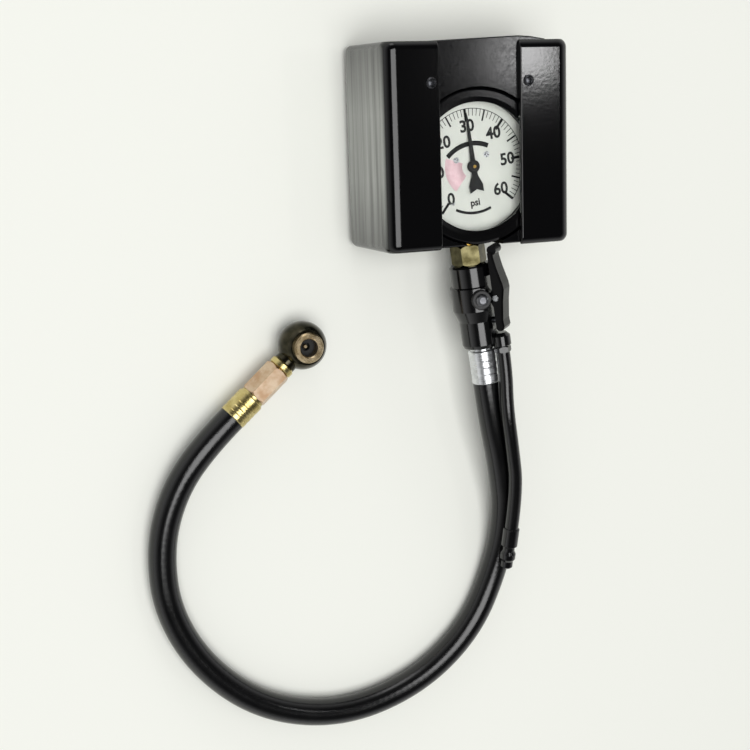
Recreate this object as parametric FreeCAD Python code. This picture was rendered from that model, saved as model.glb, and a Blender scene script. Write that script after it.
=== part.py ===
# Tyre inflator: a dial gauge in a bent steel guard, a lever valve under it, an air hose with a
# ball chuck on its end, and a short whip with a plug where the compressed air comes in.
# The object lies on its back. +X is to the dial's right, +Y to its top, +Z out of the dial.
# The origin is the middle of the guard's back face. All sizes are millimetres and degrees.
import FreeCAD, Part
import math
import os

Vector = FreeCAD.Vector
Placement = FreeCAD.Placement
Rotation = FreeCAD.Rotation
X_AXIS = Vector(1, 0, 0)
Y_AXIS = Vector(0, 1, 0)
Z_AXIS = Vector(0, 0, 1)

os.makedirs("parts", exist_ok=True)

# Clearances that tie the fits together
slide_gap = 0.25
bore_gap = 0.05
press_gap = 0.01
run_gap = 0.3

# Guard: one sheet of steel bent into a box that is open above, below and down its front
guard_width = 90.0
guard_height = 90.0
guard_depth = 48.0
sheet = 2.0
bend_radius = 6.0
guard_rim = 4.0
front_slot = 39.0
slot_edge_radius = 0.7

# Guard screws, one through each front flange
guard_screw_x = front_slot / 2 + 4.0
guard_screw_y = guard_height / 2 - 18.0
screw_radius = 1.5
screw_gap = 0.2
screw_length = 9.0
screw_head_radius = 2.4
screw_head_height = 1.5
screw_socket = 1.5

# Cradle: the moulded block that fills the guard and holds the gauge
cradle_wall = 2.6
cradle_inset = 1.2
cradle_front = 3.0
cradle_rim = 1.2
crown_rise = 2.5
crown_chamfer = 0.6

# Gauge case, bezel and lens; the bezel's front lies a little behind the guard's flanges
case_radius = 31.0
case_depth = 26.8
case_wall = 1.0
case_rim = 1.6
case_rim_radius = case_radius + 1.4
bezel_gap = 1.0
bezel_front = guard_depth - sheet - bezel_gap
bezel_radius = case_rim_radius + 1.6
bezel_lip = 1.6
bezel_height = 8.6
window_radius = case_radius - 3.0
lens_thickness = 2.0
gasket_thickness = 2.6
case_front = bezel_front - bezel_lip - lens_thickness - gasket_thickness
gauge_back = case_front - case_depth

# Gauge: its place up from the guard's lower edge, its lean, and its stem's height
dial_above_edge = 35.6
dial_y = dial_above_edge - guard_height / 2
gauge_lean = 7.8
stem_z = gauge_back + 10.0

# Dial and pointer
dial_radius = case_radius - case_wall - 0.8
dial_thickness = 0.5
dial_z = case_front - 1.4
dial_screw_places = [(-7.5, 4.0), (7.5, 4.0)]
dial_screw_radius = 0.7
dial_screw_head = 1.3
zero_angle = 225.0
dial_sweep = 270.0
rest_turn = dial_sweep / 2
pointer_length = 23.5
pointer_tail = 11.5
pointer_tail_half_width = 3.3
pointer_z = dial_z + 1.6
pointer_thickness = 0.5
stop_pin_place = 19.0
stop_pin_radius = 0.6

# Gauge socket, its screws and the thread it shares with the pieces below
thread_radius = 5.1
neck_radius = thread_radius + 0.4
air_bore = 2.0
socket_half_width = case_radius / 4 + 0.25
socket_height = 14.0
socket_bottom = 2.5 - case_radius
socket_top = socket_bottom + 11.5
socket_screw_x = 4.5
socket_screw_y = socket_bottom + 4.0
socket_screw_radius = 1.25
socket_screw_head = 2.2

# Gauge movement: plates, pillars and screws
plate_thickness = 1.0
plate_space = 6.8
movement_back = gauge_back + case_wall + socket_height
movement_front = movement_back + plate_thickness + plate_space
pillar_places = dial_screw_places + [(-7.0, socket_bottom + 6.5)]
pillar_radius = 1.6
pillar_neck = dial_screw_radius + 0.4
plate_screw_x = 3.0
plate_screw_y = socket_bottom + 3.1
plate_screw_radius = 0.9

# Gears: the sector turns the pinion on the pointer's arbor
gear_module = case_radius / 124
pinion_teeth = 14
sector_full_teeth = 126
pressure_angle = 25.0
tooth_backlash = 0.06
gear_centres = gear_module * (pinion_teeth + sector_full_teeth) / 2
sector_swing = dial_sweep * pinion_teeth / sector_full_teeth
sector_rest_turn = rest_turn * pinion_teeth / sector_full_teeth
sector_thickness = 1.2
sector_z = movement_back + 4.4
sector_hub = 2.6
sector_rim = 3.0
pinion_z = sector_z - 0.4
pinion_height = 2.2
arbor_radius = 0.7
shaft_radius = 0.8

# Link from the sector's tail to the tube's tip
link_angle = 45.0
tail_length = gear_centres - 9.5
tail_pin_radius = 0.6
tail_pin_play = 0.45
link_length = gear_centres * 0.8
link_width = 3.2
link_thickness = 0.8
link_z = sector_z - link_thickness - 0.4
post_radius = 0.8

# Hairspring: a flat spiral of half turns
hairspring_height = 0.6
hairspring_strip = 0.2
hairspring_pitch = 0.7
hairspring_turns = 5
hairspring_start = 1.5
hairspring_z = pinion_z + pinion_height + 0.2
hairspring_stud = hairspring_start + hairspring_pitch * hairspring_turns

# Pressure tube of the gauge
tube_radius = case_radius - 10.0
tube_thickness = 3.0
tube_height = 8.0
tube_wall = 0.4
tube_start_angle = 250.0
tube_end_angle = -32.0
tip_length = 5.0
tip_width = 4.0

# Brass hex below the gauge, measured down the stem from the dial's centre
hex_across = 14.0
hex_length = 9.6
hex_start = dial_above_edge + 0.4
socket_end = hex_start + 7.5

# Valve body, measured the same way; valve_turn is the lever's side, round from the dial's right
valve_turn = 48.0
valve_length = 39.4
valve_start = hex_start + hex_length
valve_end = valve_start + valve_length
valve_top_radius = 9.5
valve_mid_radius = 10.6
valve_low_radius = 8.6
valve_mid_start = valve_start + 9.6
valve_mid_end = valve_mid_start + 11.3
valve_low_start = valve_mid_end + 5.5
port_depth = 8.4

# Lever and its pivot
pivot_place = valve_start + 15.9
pivot_out = 12.0
pin_radius = 1.5
ear_radius = pin_radius + 1.0
ear_half_width = 3.0
lever_half_width = ear_half_width + 1.7
lever_inside = pivot_out - 1.4
lever_upper_inside = pivot_out - 1.1
lever_flat = 8.2
lever_flat_start = valve_mid_start - 4.0
lever_flat_end = pivot_place + 15.5
lever_tip = pivot_place + 15.5
lever_tip_radius = 1.3
knob_place = pivot_place - 22.0
knob_radius = 2.2

# Air valve under the lever: a spool that the lever pushes in against a spring
spool_place = pivot_place + 11.0
spool_bore = 2.5
spool_depth = 7.6
spool_waist = 1.3
spool_end = -3.8
spool_guide = 1.0
spool_land = 1.8
spool_outer_land = 5.9
land_length = 1.4
oring_section = 0.45
spool_pin = spool_waist + 0.2
retainer_radius = 3.0
retainer_thickness = 0.8
retainer_under = lever_flat - retainer_thickness
spool_spring_wire = 0.2
spool_spring_radius = 1.7
supply_bore = 0.8
supply_out = 3.9

# Bleed button, at bleed_turn round the stem from the lever
bleed_turn = 52.0
bleed_place = valve_start + 15.4
bleed_face = valve_mid_radius - 0.4
bleed_seat_start = bleed_face - 5.7
bleed_thread = 3.6
bleed_collar = 4.6
bleed_collar_height = 1.5
bleed_stem = 1.0
bleed_head = 2.0
bleed_button_radius = 2.8
bleed_button_under = bleed_face + 0.1
bleed_button_top = bleed_face + 3.4
bleed_spring_seat = bleed_seat_start + 2.7
bleed_spring_wire = 0.25
bleed_spring_radius = 1.75

# Main hose and its crimped ends
hose_radius = 6.35
hose_bore = 3.2
crimped_radius = hose_radius - 0.55
ferrule_wall = 0.7
ferrule_radius = crimped_radius + bore_gap + ferrule_wall
ferrule_length = 16.0
ferrule_start = valve_end + 1.0
ferrule_end = ferrule_start + ferrule_length
crimp_groove = 0.12
barb_radius = hose_bore - 0.1

# Air inlet beside the ferrule
inlet_hex_across = 7.0
inlet_out = ferrule_radius + inlet_hex_across / 2 + slide_gap
inlet_thread = 2.5
inlet_thread_start = valve_end - 5.7
inlet_hex_end = valve_end + 3.0
inlet_bore = 0.9
inlet_boss_radius = 4.4
inlet_boss_start = valve_end - 6.5

# Whip hose and its plug
whip_radius = 3.25
whip_bore = 1.6
whip_barb = whip_bore - 0.1
whip_barb_length = 8.0
plug_radius = 3.95
plug_neck = 2.9
plug_grip_length = 9.0
plug_length = 21.0

# Chuck: its ball lies on the surface and its mouth points up; lengths are from the ball's centre
ball_radius = 11.0
ball_x = -73.1
ball_y = -86.4
chuck_heading = 40.5
neck_thread = 4.4
collar_radius = 5.8
collar_start = ball_radius + 0.8
connector_across = 11.4
connector_start = collar_start + 3.7
chuck_ferrule_length = 12.4
chuck_mouth = connector_start + 29.9
mouth_radius = 4.1
mouth_rim_radius = 6.9
mouth_seat = 7.6
mouth_top = mouth_seat + 2.2
seal_z = 3.0
seal_thickness = 1.6
seal_radius = 5.1
poppet_radius = 3.2
poppet_pin = 1.1
poppet_head = 1.0
poppet_head_top = seal_z - 1.3
poppet_floor = -6.5
poppet_spring_wire = 0.3
poppet_spring_radius = 2.4

# Route of the main hose, from the valve's ferrule to the chuck's: X, Y and the gap under the hose
hose_middle = [
    (23.2, -153.5, 11.25),
    (28.8, -180.5, 4.65),
    (25.4, -207.8, 0.15),
    (10.4, -238.2, 0.15),
    (-19.0, -260.4, 0.15),
    (-58.0, -268.8, 0.15),
    (-96.5, -258.2, 0.15),
    (-125.2, -233.2, 0.15),
    (-141.0, -202.8, 0.15),
    (-142.8, -172.6, 0.55),
    (-136.1, -148.3, 2.35),
]
hose_first_run = 18.5
hose_last_run = 20.0

# Route of the whip, which rests on the main hose: X, Y and the height over both hoses' radii
whip_middle = [
    (19.1, -121.6, 22.6),
    (22.8, -142.0, 20.6),
    (27.2, -163.5, 16.4),
    (26.2, -184.0, 12.4),
]
whip_first_run = 10.0


# Helpers for plain shapes
def cylinder(radius, start, end, x=0.0, y=0.0):
    return Part.makeCylinder(radius, end - start, Vector(x, y, start), Z_AXIS)


def ring(inner, outer, start, end, x=0.0, y=0.0):
    return cylinder(outer, start, end, x, y).cut(cylinder(inner, start, end, x, y))


def block(x0, x1, y0, y1, z0, z1):
    return Part.makeBox(x1 - x0, y1 - y0, z1 - z0, Vector(x0, y0, z0))


def turned(points):
    """A solid of revolution about Z from (radius, height) points."""
    corners = [Vector(radius, 0, height) for radius, height in points]
    outline = Part.makePolygon(corners + [corners[0]])
    return Part.Face(outline).revolve(Vector(0, 0, 0), Z_AXIS, 360)


def hexagon(across, start, end):
    corner = across / 2 / math.cos(math.radians(30))
    points = []
    for side in range(7):
        angle = math.radians(60 * side + 30)
        points.append(Vector(corner * math.cos(angle), corner * math.sin(angle), start))
    prism = Part.Face(Part.makePolygon(points)).extrude(Vector(0, 0, end - start))
    chamfer = corner - across / 2
    cone = turned([
        (0, start),
        (across / 2, start),
        (corner, start + chamfer),
        (corner, end - chamfer),
        (across / 2, end),
        (0, end),
    ])
    return prism.common(cone)


def upright(points, width):
    """A closed outline in X and Z, made width thick evenly about Y = 0."""
    corners = [Vector(x, -width / 2, z) for x, z in points]
    return Part.Face(Part.makePolygon(corners + [corners[0]])).extrude(Vector(0, width, 0))


def along_x(shape):
    """Turns a shape built along Z so that it runs along X."""
    shape = shape.copy()
    shape.rotate(Vector(0, 0, 0), Y_AXIS, 90)
    return shape


def fused(first, *others):
    return first.fuse(list(others)).removeSplitter()


def save(name, shape, place=None):
    if place is not None:
        shape = shape.copy()
        shape.Placement = place.multiply(shape.Placement)
    shape.exportStep("parts/" + name + ".step")


def frame_place(origin, x_dir, y_dir, z_dir):
    return Placement(FreeCAD.Matrix(
        x_dir.x, y_dir.x, z_dir.x, origin.x,
        x_dir.y, y_dir.y, z_dir.y, origin.y,
        x_dir.z, y_dir.z, z_dir.z, origin.z,
        0, 0, 0, 1,
    ))


# Frames: the gauge is turned a little in its guard, and the valve follows its stem
gauge_place = Placement(Vector(0, dial_y, 0), Rotation(Z_AXIS, gauge_lean))
turn = math.radians(valve_turn)
valve_place = gauge_place.multiply(frame_place(
    Vector(0, 0, stem_z),
    Vector(math.cos(turn), 0, math.sin(turn)),
    Vector(-math.sin(turn), 0, math.cos(turn)),
    Vector(0, -1, 0),
))
bleed_frame = valve_place.multiply(Placement(Vector(0, 0, 0), Rotation(Z_AXIS, bleed_turn)))
chuck_place = Placement(Vector(ball_x, ball_y, ball_radius), Rotation(Z_AXIS, chuck_heading))
connector_place = chuck_place.multiply(Placement(Vector(0, 0, 0), Rotation(Y_AXIS, -90)))


# Guard, its two screws and the cradle inside
def rounded_tube(width, depth, radius, z0, half_length):
    body = block(-width / 2, width / 2, -half_length, half_length, z0, z0 + depth)
    bends = [e for e in body.Edges if abs(e.tangentAt(e.FirstParameter).y) > 0.9]
    return body.makeFillet(radius, bends)


def rounded_rims(body, radius):
    """The body with the edges round its upper and lower ends rounded."""
    return body.makeFillet(radius, [e for e in body.Edges if e.BoundBox.YLength < 0.01])


def make_guard():
    outer = rounded_tube(guard_width, guard_depth, bend_radius, 0, guard_height / 2)
    outer = rounded_rims(outer, guard_rim)
    inner = rounded_tube(
        guard_width - 2 * sheet, guard_depth - 2 * sheet, bend_radius - sheet, sheet, guard_height
    )
    shell = outer.cut(inner)
    half_slot = front_slot / 2
    shell = shell.cut(block(
        -half_slot, half_slot, -guard_height, guard_height, guard_depth - 2 * sheet, guard_depth + sheet
    ))
    edges = []
    for edge in shell.Edges:
        box = edge.BoundBox
        along_slot = box.YLength > guard_height / 2 and abs(abs(box.XMax) - half_slot) < 0.01
        if along_slot and abs(box.ZMin - guard_depth) < 0.01:
            edges.append(edge)
    shell = shell.makeFillet(slot_edge_radius, edges)
    for side in (-1, 1):
        shell = shell.cut(cylinder(
            screw_radius + screw_gap, guard_depth - 2 * sheet, guard_depth + 1,
            side * guard_screw_x, guard_screw_y,
        ))
    return shell


def make_guard_screw(x, y):
    head = turned([
        (0, 0),
        (screw_head_radius, 0),
        (screw_head_radius, 0.5),
        (screw_head_radius * 0.75, screw_head_height * 0.8),
        (screw_head_radius * 0.4, screw_head_height),
        (0, screw_head_height),
    ])
    head = head.cut(hexagon(screw_socket, screw_head_height - 1.0, screw_head_height + 1))
    screw = fused(head, cylinder(screw_radius, -screw_length, 0))
    screw.translate(Vector(x, y, guard_depth))
    return screw


def make_crown(half_width, half_length, start, front):
    """The top of the cradle, which rises towards one side because the cradle leans a little."""
    outline = [(-0.8, -0.8), (-0.61, 0.24), (0.47, 1.0), (0.61, 0.84), (0.77, 0.4), (0.92, -0.8)]
    corners = [Vector(half_width * x, half_length + crown_rise * y, start) for x, y in outline]
    crown = Part.Face(Part.makePolygon(corners + [corners[0]])).extrude(Vector(0, 0, front - start))
    rising = [
        e for e in crown.Edges
        if abs(e.BoundBox.ZMin - front) < 0.01 and e.BoundBox.YMax > half_length
    ]
    return crown.makeChamfer(crown_chamfer, rising)


def make_cradle():
    half_width = guard_width / 2 - sheet - slide_gap
    half_length = guard_height / 2 - cradle_inset
    front = guard_depth - sheet - slide_gap
    body = rounded_tube(2 * half_width, front - sheet, bend_radius - sheet, sheet, half_length)
    body = rounded_rims(body, cradle_rim)
    body = fused(body, make_crown(half_width, half_length, sheet + bend_radius, front))
    case_pocket = case_radius + slide_gap
    bezel_pocket = bezel_radius + 2 * slide_gap
    bezel_seat = bezel_front - bezel_height - slide_gap
    hollow = block(
        -half_width + cradle_wall, half_width - cradle_wall,
        -half_length + cradle_wall, half_length - cradle_wall,
        0, front - cradle_front,
    )
    hollow = hollow.cut(cylinder(bezel_pocket + cradle_wall, -1, guard_depth, 0, dial_y))
    for side in (-1, 1):
        hollow = hollow.cut(cylinder(
            screw_radius + cradle_wall, -1, guard_depth, side * guard_screw_x, guard_screw_y
        ))
    body = body.cut(hollow)
    body = body.cut(cylinder(case_pocket - cradle_wall, 0, gauge_back - cradle_wall, 0, dial_y))
    body = body.cut(cylinder(case_pocket, gauge_back, guard_depth, 0, dial_y))
    for side in (-1, 1):
        screw_access = cylinder(
            socket_screw_head + run_gap, 0, gauge_back + 1, side * socket_screw_x, socket_screw_y
        )
        screw_access.Placement = gauge_place
        body = body.cut(screw_access)
    body = body.cut(cylinder(bezel_pocket, bezel_seat, guard_depth, 0, dial_y))
    stem_slot = block(
        -neck_radius - 1, neck_radius + 1, -guard_height, -case_radius / 2,
        stem_z - neck_radius - 1, guard_depth,
    )
    stem_slot.Placement = gauge_place
    body = body.cut(stem_slot)
    for side in (-1, 1):
        body = body.cut(cylinder(
            screw_radius + bore_gap, guard_depth - screw_length - 1, guard_depth,
            side * guard_screw_x, guard_screw_y,
        ))
    return body


# Gauge case, bezel, gasket and lens
def make_case():
    cup = turned([
        (0, gauge_back),
        (case_radius - 1.5, gauge_back),
        (case_radius, gauge_back + 1.5),
        (case_radius, case_front - case_rim),
        (case_rim_radius, case_front - case_rim),
        (case_rim_radius, case_front),
        (case_radius - case_wall, case_front),
        (case_radius - case_wall, gauge_back + case_wall),
        (0, gauge_back + case_wall),
    ])
    neck_hole = cylinder(neck_radius + bore_gap + 0.1, 0, 2 * case_radius)
    neck_hole.rotate(Vector(0, 0, 0), X_AXIS, 90)
    neck_hole.translate(Vector(0, 0, stem_z))
    cup = cup.cut(neck_hole)
    for side in (-1, 1):
        cup = cup.cut(cylinder(
            socket_screw_radius + bore_gap, gauge_back - 1, gauge_back + 3,
            side * socket_screw_x, socket_screw_y,
        ))
    return cup


def make_bezel():
    inside = case_rim_radius + 2 * bore_gap
    shoulder = bezel_front - bezel_lip
    return turned([
        (window_radius + 1.2, bezel_front - 0.4),
        (window_radius + 2.2, bezel_front),
        (bezel_radius - 1.2, bezel_front),
        (bezel_radius - 0.3, bezel_front - 0.5),
        (bezel_radius, bezel_front - 1.4),
        (bezel_radius, bezel_front - bezel_height),
        (inside, bezel_front - bezel_height),
        (inside, shoulder),
        (window_radius, shoulder),
        (window_radius, bezel_front - 0.9),
    ])


def make_lens():
    top = bezel_front - bezel_lip
    return cylinder(case_rim_radius - bore_gap, top - lens_thickness, top)


def make_gasket():
    return ring(window_radius + 0.8, case_rim_radius - bore_gap, case_front, case_front + gasket_thickness)


# Gauge socket with its two screws, and the brass hex under it
def make_socket():
    body = block(
        -socket_half_width, socket_half_width, socket_bottom, socket_top,
        gauge_back + case_wall, movement_back,
    )
    neck = turned([
        (0, -socket_bottom - 1),
        (neck_radius, -socket_bottom - 1),
        (neck_radius, hex_start - 1.0),
        (thread_radius, hex_start - 0.6),
        (thread_radius, socket_end - 1),
        (thread_radius - 0.8, socket_end),
        (0, socket_end),
    ])
    bore = cylinder(air_bore, -socket_top + 3, socket_end + 1)
    for piece in (neck, bore):
        piece.rotate(Vector(0, 0, 0), X_AXIS, 90)
        piece.translate(Vector(0, 0, stem_z))
    above = block(
        -socket_half_width, socket_half_width, socket_bottom, socket_top, movement_back, guard_depth
    )
    body = fused(body, neck).cut(bore).cut(above)
    feed = cylinder(0.8, -socket_half_width - 1, 0)
    feed = along_x(feed)
    feed.translate(Vector(0, socket_top - 2.6, stem_z))
    body = body.cut(feed)
    for side in (-1, 1):
        body = body.cut(cylinder(
            socket_screw_radius + bore_gap, 0, gauge_back + case_wall + 4.2,
            side * socket_screw_x, socket_screw_y,
        ))
        body = body.cut(cylinder(
            plate_screw_radius + bore_gap, movement_back - 3.2, movement_back + 1,
            side * plate_screw_x, plate_screw_y,
        ))
    return body


def make_socket_screws():
    screws = []
    for side in (-1, 1):
        shank = cylinder(
            socket_screw_radius, gauge_back, gauge_back + case_wall + 4,
            side * socket_screw_x, socket_screw_y,
        )
        head = cylinder(
            socket_screw_head, gauge_back - 1.2, gauge_back, side * socket_screw_x, socket_screw_y
        )
        slot = block(
            side * socket_screw_x - 3, side * socket_screw_x + 3,
            socket_screw_y - 0.3, socket_screw_y + 0.3, gauge_back - 2, gauge_back - 0.7,
        )
        screws.append(fused(head, shank).cut(slot))
    return Part.makeCompound(screws)


def make_nipple():
    body = hexagon(hex_across, hex_start, valve_start)
    thread = turned([
        (0, valve_start - 1),
        (thread_radius, valve_start - 1),
        (thread_radius, valve_start + port_depth - 1.2),
        (thread_radius - 0.8, valve_start + port_depth - 0.4),
        (0, valve_start + port_depth - 0.4),
    ])
    body = fused(body, thread)
    body = body.cut(cylinder(thread_radius + bore_gap, hex_start - 1, socket_end + run_gap))
    return body.cut(cylinder(air_bore, hex_start, valve_start + port_depth + 1))


# Dial, its screws and the stop pin that the pointer rests near at zero
def stop_pin_angle():
    half_gap = (stop_pin_radius + run_gap + 0.35) / stop_pin_place
    return math.radians(zero_angle) + half_gap


def make_dial():
    plate = cylinder(dial_radius, dial_z, dial_z + dial_thickness)
    plate = plate.cut(cylinder(arbor_radius + 0.9, dial_z - 1, dial_z + 1))
    for x, y in dial_screw_places:
        plate = plate.cut(cylinder(dial_screw_radius + bore_gap, dial_z - 1, dial_z + 1, x, y))
    pin_x = stop_pin_place * math.cos(stop_pin_angle())
    pin_y = stop_pin_place * math.sin(stop_pin_angle())
    return plate.cut(cylinder(stop_pin_radius, dial_z - 1, dial_z + 1, pin_x, pin_y))


def make_dial_screws():
    screws = []
    top = dial_z + dial_thickness
    for x, y in dial_screw_places:
        shank = cylinder(dial_screw_radius, dial_z - 2.0, top, x, y)
        head = cylinder(dial_screw_head, top, top + 0.6, x, y)
        slot = block(x - 2, x + 2, y - 0.15, y + 0.15, top + 0.35, top + 1)
        screws.append(fused(shank, head).cut(slot))
    return Part.makeCompound(screws)


def make_stop_pin():
    pin_x = stop_pin_place * math.cos(stop_pin_angle())
    pin_y = stop_pin_place * math.sin(stop_pin_angle())
    return cylinder(stop_pin_radius, dial_z - 0.6, pointer_z + pointer_thickness + 0.5, pin_x, pin_y)


def make_pointer():
    """The needle points along +Y at rest, at the middle of the scale, over a bold tail."""
    blade = Part.Face(Part.makePolygon([
        Vector(pointer_length, 0, 0),
        Vector(pointer_length - 3.0, 0.45, 0),
        Vector(0, 1.2, 0),
        Vector(-4.0, 1.4, 0),
        Vector(-pointer_tail + 3.2, pointer_tail_half_width, 0),
        Vector(-pointer_tail, pointer_tail_half_width, 0),
        Vector(-pointer_tail + 1.4, 0, 0),
        Vector(-pointer_tail, -pointer_tail_half_width, 0),
        Vector(-pointer_tail + 3.2, -pointer_tail_half_width, 0),
        Vector(-4.0, -1.4, 0),
        Vector(0, -1.2, 0),
        Vector(pointer_length - 3.0, -0.45, 0),
        Vector(pointer_length, 0, 0),
    ])).extrude(Vector(0, 0, pointer_thickness))
    hub = turned([
        (0, -0.4),
        (2.8, -0.4),
        (2.8, 0.7),
        (2.2, 1.1),
        (0, 1.1),
    ])
    pointer = fused(blade, hub).cut(cylinder(arbor_radius + press_gap, -1, 2))
    pointer.rotate(Vector(0, 0, 0), Z_AXIS, zero_angle - rest_turn)
    pointer.translate(Vector(0, 0, pointer_z))
    return pointer


# Gear teeth: points of one gear or sector about its own centre
def tooth_half_angle(radius, teeth, pitch_radius, base_radius):
    at_pitch = math.pi / (2 * teeth) - tooth_backlash / (4 * pitch_radius)
    flank = math.radians(pressure_angle)
    here = math.acos(min(1.0, base_radius / radius))
    return at_pitch + math.tan(flank) - flank - (math.tan(here) - here)


def gear_points(teeth, first, count, phase):
    pitch_radius = gear_module * teeth / 2
    base_radius = pitch_radius * math.cos(math.radians(pressure_angle))
    root_radius = pitch_radius - 1.25 * gear_module
    tip_radius = pitch_radius + 0.9 * gear_module
    low = max(base_radius, root_radius)
    steps = [root_radius, low + 0.02, pitch_radius, (pitch_radius + tip_radius) / 2, tip_radius]
    points = []
    for tooth in range(first, first + count):
        middle = phase + 2 * math.pi * tooth / teeth
        for radius in steps:
            half = tooth_half_angle(max(radius, low), teeth, pitch_radius, base_radius)
            points.append((radius, middle - half))
        for radius in reversed(steps):
            half = tooth_half_angle(max(radius, low), teeth, pitch_radius, base_radius)
            points.append((radius, middle + half))
    return [Vector(r * math.cos(a), r * math.sin(a), 0) for r, a in points]


def make_arbor():
    down = math.radians(-90)
    phase = down + math.pi / pinion_teeth
    outline = gear_points(pinion_teeth, 0, pinion_teeth, phase)
    pinion = Part.Face(Part.makePolygon(outline + [outline[0]])).extrude(Vector(0, 0, pinion_height))
    pinion.translate(Vector(0, 0, pinion_z))
    shaft = cylinder(arbor_radius, movement_back + 0.1, pointer_z + 1.4)
    arbor = fused(pinion, shaft)
    arbor.rotate(Vector(0, 0, 0), Z_AXIS, -rest_turn)
    return arbor


# The tail hangs so that half the swing brings it square to the link
tail_rest_angle = math.radians(-link_angle - sector_swing / 2 + sector_rest_turn)
tail_rest_x = tail_length * math.cos(tail_rest_angle)
tail_rest_y = -gear_centres + tail_length * math.sin(tail_rest_angle)
post_x = tail_rest_x + link_length * math.cos(math.radians(link_angle))
post_y = tail_rest_y + link_length * math.sin(math.radians(link_angle))


def make_sector():
    """Drawn at zero, with more teeth on the right for the swing to the left, then turned to rest."""
    teeth_up = 2
    teeth_right = int(sector_full_teeth * sector_swing / 360) + 3
    outline = gear_points(
        sector_full_teeth, -teeth_right, teeth_right + teeth_up + 1, math.radians(90)
    )
    rim_radius = gear_module * sector_full_teeth / 2 - sector_rim
    hub = sector_hub
    first = math.atan2(outline[0].y, outline[0].x)
    last = math.atan2(outline[-1].y, outline[-1].x)
    arm = [
        Vector(hub * math.cos(last + 0.5), hub * math.sin(last + 0.5), 0),
        Vector(hub * math.cos(first - 0.5), hub * math.sin(first - 0.5), 0),
    ]
    plate = Part.Face(Part.makePolygon(outline + arm + [outline[0]]))
    plate = plate.extrude(Vector(0, 0, sector_thickness))
    middle = (first + last) / 2
    window = cylinder(rim_radius, -1, sector_thickness + 1).cut(
        cylinder(hub + 2.4, -2, sector_thickness + 2)
    )
    wedge = Part.Face(Part.makePolygon([
        Vector(0, 0, -3),
        Vector(30 * math.cos(first + 0.16), 30 * math.sin(first + 0.16), -3),
        Vector(30 * math.cos(last - 0.16), 30 * math.sin(last - 0.16), -3),
        Vector(0, 0, -3),
    ])).extrude(Vector(0, 0, 10))
    spoke_width = 1.2
    spoke = block(0, 30, -spoke_width, spoke_width, -4, 8)
    spoke.rotate(Vector(0, 0, 0), Z_AXIS, math.degrees(middle))
    plate = plate.cut(window.common(wedge).cut(spoke))
    plate.rotate(Vector(0, 0, 0), Z_AXIS, sector_rest_turn)
    tail_angle = math.degrees(tail_rest_angle)
    tail = block(0, tail_length + 1.4, -1.3, 1.3, 0, sector_thickness)
    tail.rotate(Vector(0, 0, 0), Z_AXIS, tail_angle)
    pin = cylinder(
        tail_pin_radius, link_z - sector_z - 0.2, 0.2, tail_rest_x, tail_rest_y + gear_centres
    )
    sector = fused(plate, cylinder(hub, 0, sector_thickness), tail, pin)
    sector = sector.cut(cylinder(shaft_radius + bore_gap, -1, sector_thickness + 1))
    sector.translate(Vector(0, -gear_centres, sector_z))
    return sector


def make_sector_shaft():
    shaft_end = movement_front + plate_thickness - 0.1
    return fused(
        cylinder(shaft_radius, movement_back + 0.1, shaft_end, 0, -gear_centres),
        ring(
            shaft_radius, shaft_radius + 0.6, sector_z + sector_thickness + 0.1, movement_front - run_gap,
            0, -gear_centres,
        ),
    )


def make_link():
    bar = fused(
        cylinder(link_width / 2, 0, link_thickness),
        cylinder(link_width / 2, 0, link_thickness, link_length, 0),
        block(0, link_length, -0.9, 0.9, 0, link_thickness),
    )
    bar = bar.cut(cylinder(tail_pin_radius + tail_pin_play, -1, 2))
    bar = bar.cut(cylinder(post_radius + press_gap, -1, 2, link_length, 0))
    bar.rotate(Vector(0, 0, 0), Z_AXIS, link_angle)
    bar.translate(Vector(tail_rest_x, tail_rest_y, link_z))
    return bar


def make_tube():
    """A flat tube bent round from the socket, clockwise, to its free end; it enters the socket's side."""
    swept = []
    for inset in (0, tube_wall):
        x0 = tube_radius - tube_thickness / 2 + inset
        x1 = tube_radius + tube_thickness / 2 - inset
        z0 = stem_z - tube_height / 2 + inset
        z1 = stem_z + tube_height / 2 - inset
        corners = [Vector(x0, 0, z0), Vector(x1, 0, z0), Vector(x1, 0, z1), Vector(x0, 0, z1)]
        face = Part.Face(Part.makePolygon(corners + [corners[0]]))
        face.rotate(Vector(0, 0, 0), Z_AXIS, tube_start_angle)
        swept.append(face.revolve(Vector(0, 0, 0), Z_AXIS, tube_end_angle - tube_start_angle))
    tube = swept[0].cut(swept[1])
    keep_out = block(
        -socket_half_width, socket_half_width, socket_bottom, socket_top, 0, guard_depth
    )
    return tube.cut(keep_out)


def make_tip():
    half = tip_width / 2
    z0 = stem_z - tube_height / 2
    body = block(tube_radius - half, tube_radius + half, -tip_length, 0, z0, z0 + tube_height)
    body.rotate(Vector(0, 0, 0), Z_AXIS, tube_end_angle)
    post = cylinder(post_radius, z0 + tube_height - 1, link_z + link_thickness + 0.2, post_x, post_y)
    washer = cylinder(post_radius + 0.7, z0 + tube_height - 1, link_z - 0.05, post_x, post_y)
    return fused(body, post, washer)


# Movement plates, pillars and hairspring
def plate_outline(start):
    bar = block(-9.4, 9.4, -4.5, 6.4, start, start + plate_thickness)
    stem = block(-9.4, 6.0, socket_bottom + 4.1, -4.5, start, start + plate_thickness)
    plate = fused(bar, stem)
    plate = plate.cut(cylinder(arbor_radius + bore_gap, start - 1, start + 2))
    return plate.cut(cylinder(shaft_radius + bore_gap, start - 1, start + 2, 0, -gear_centres))


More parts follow.
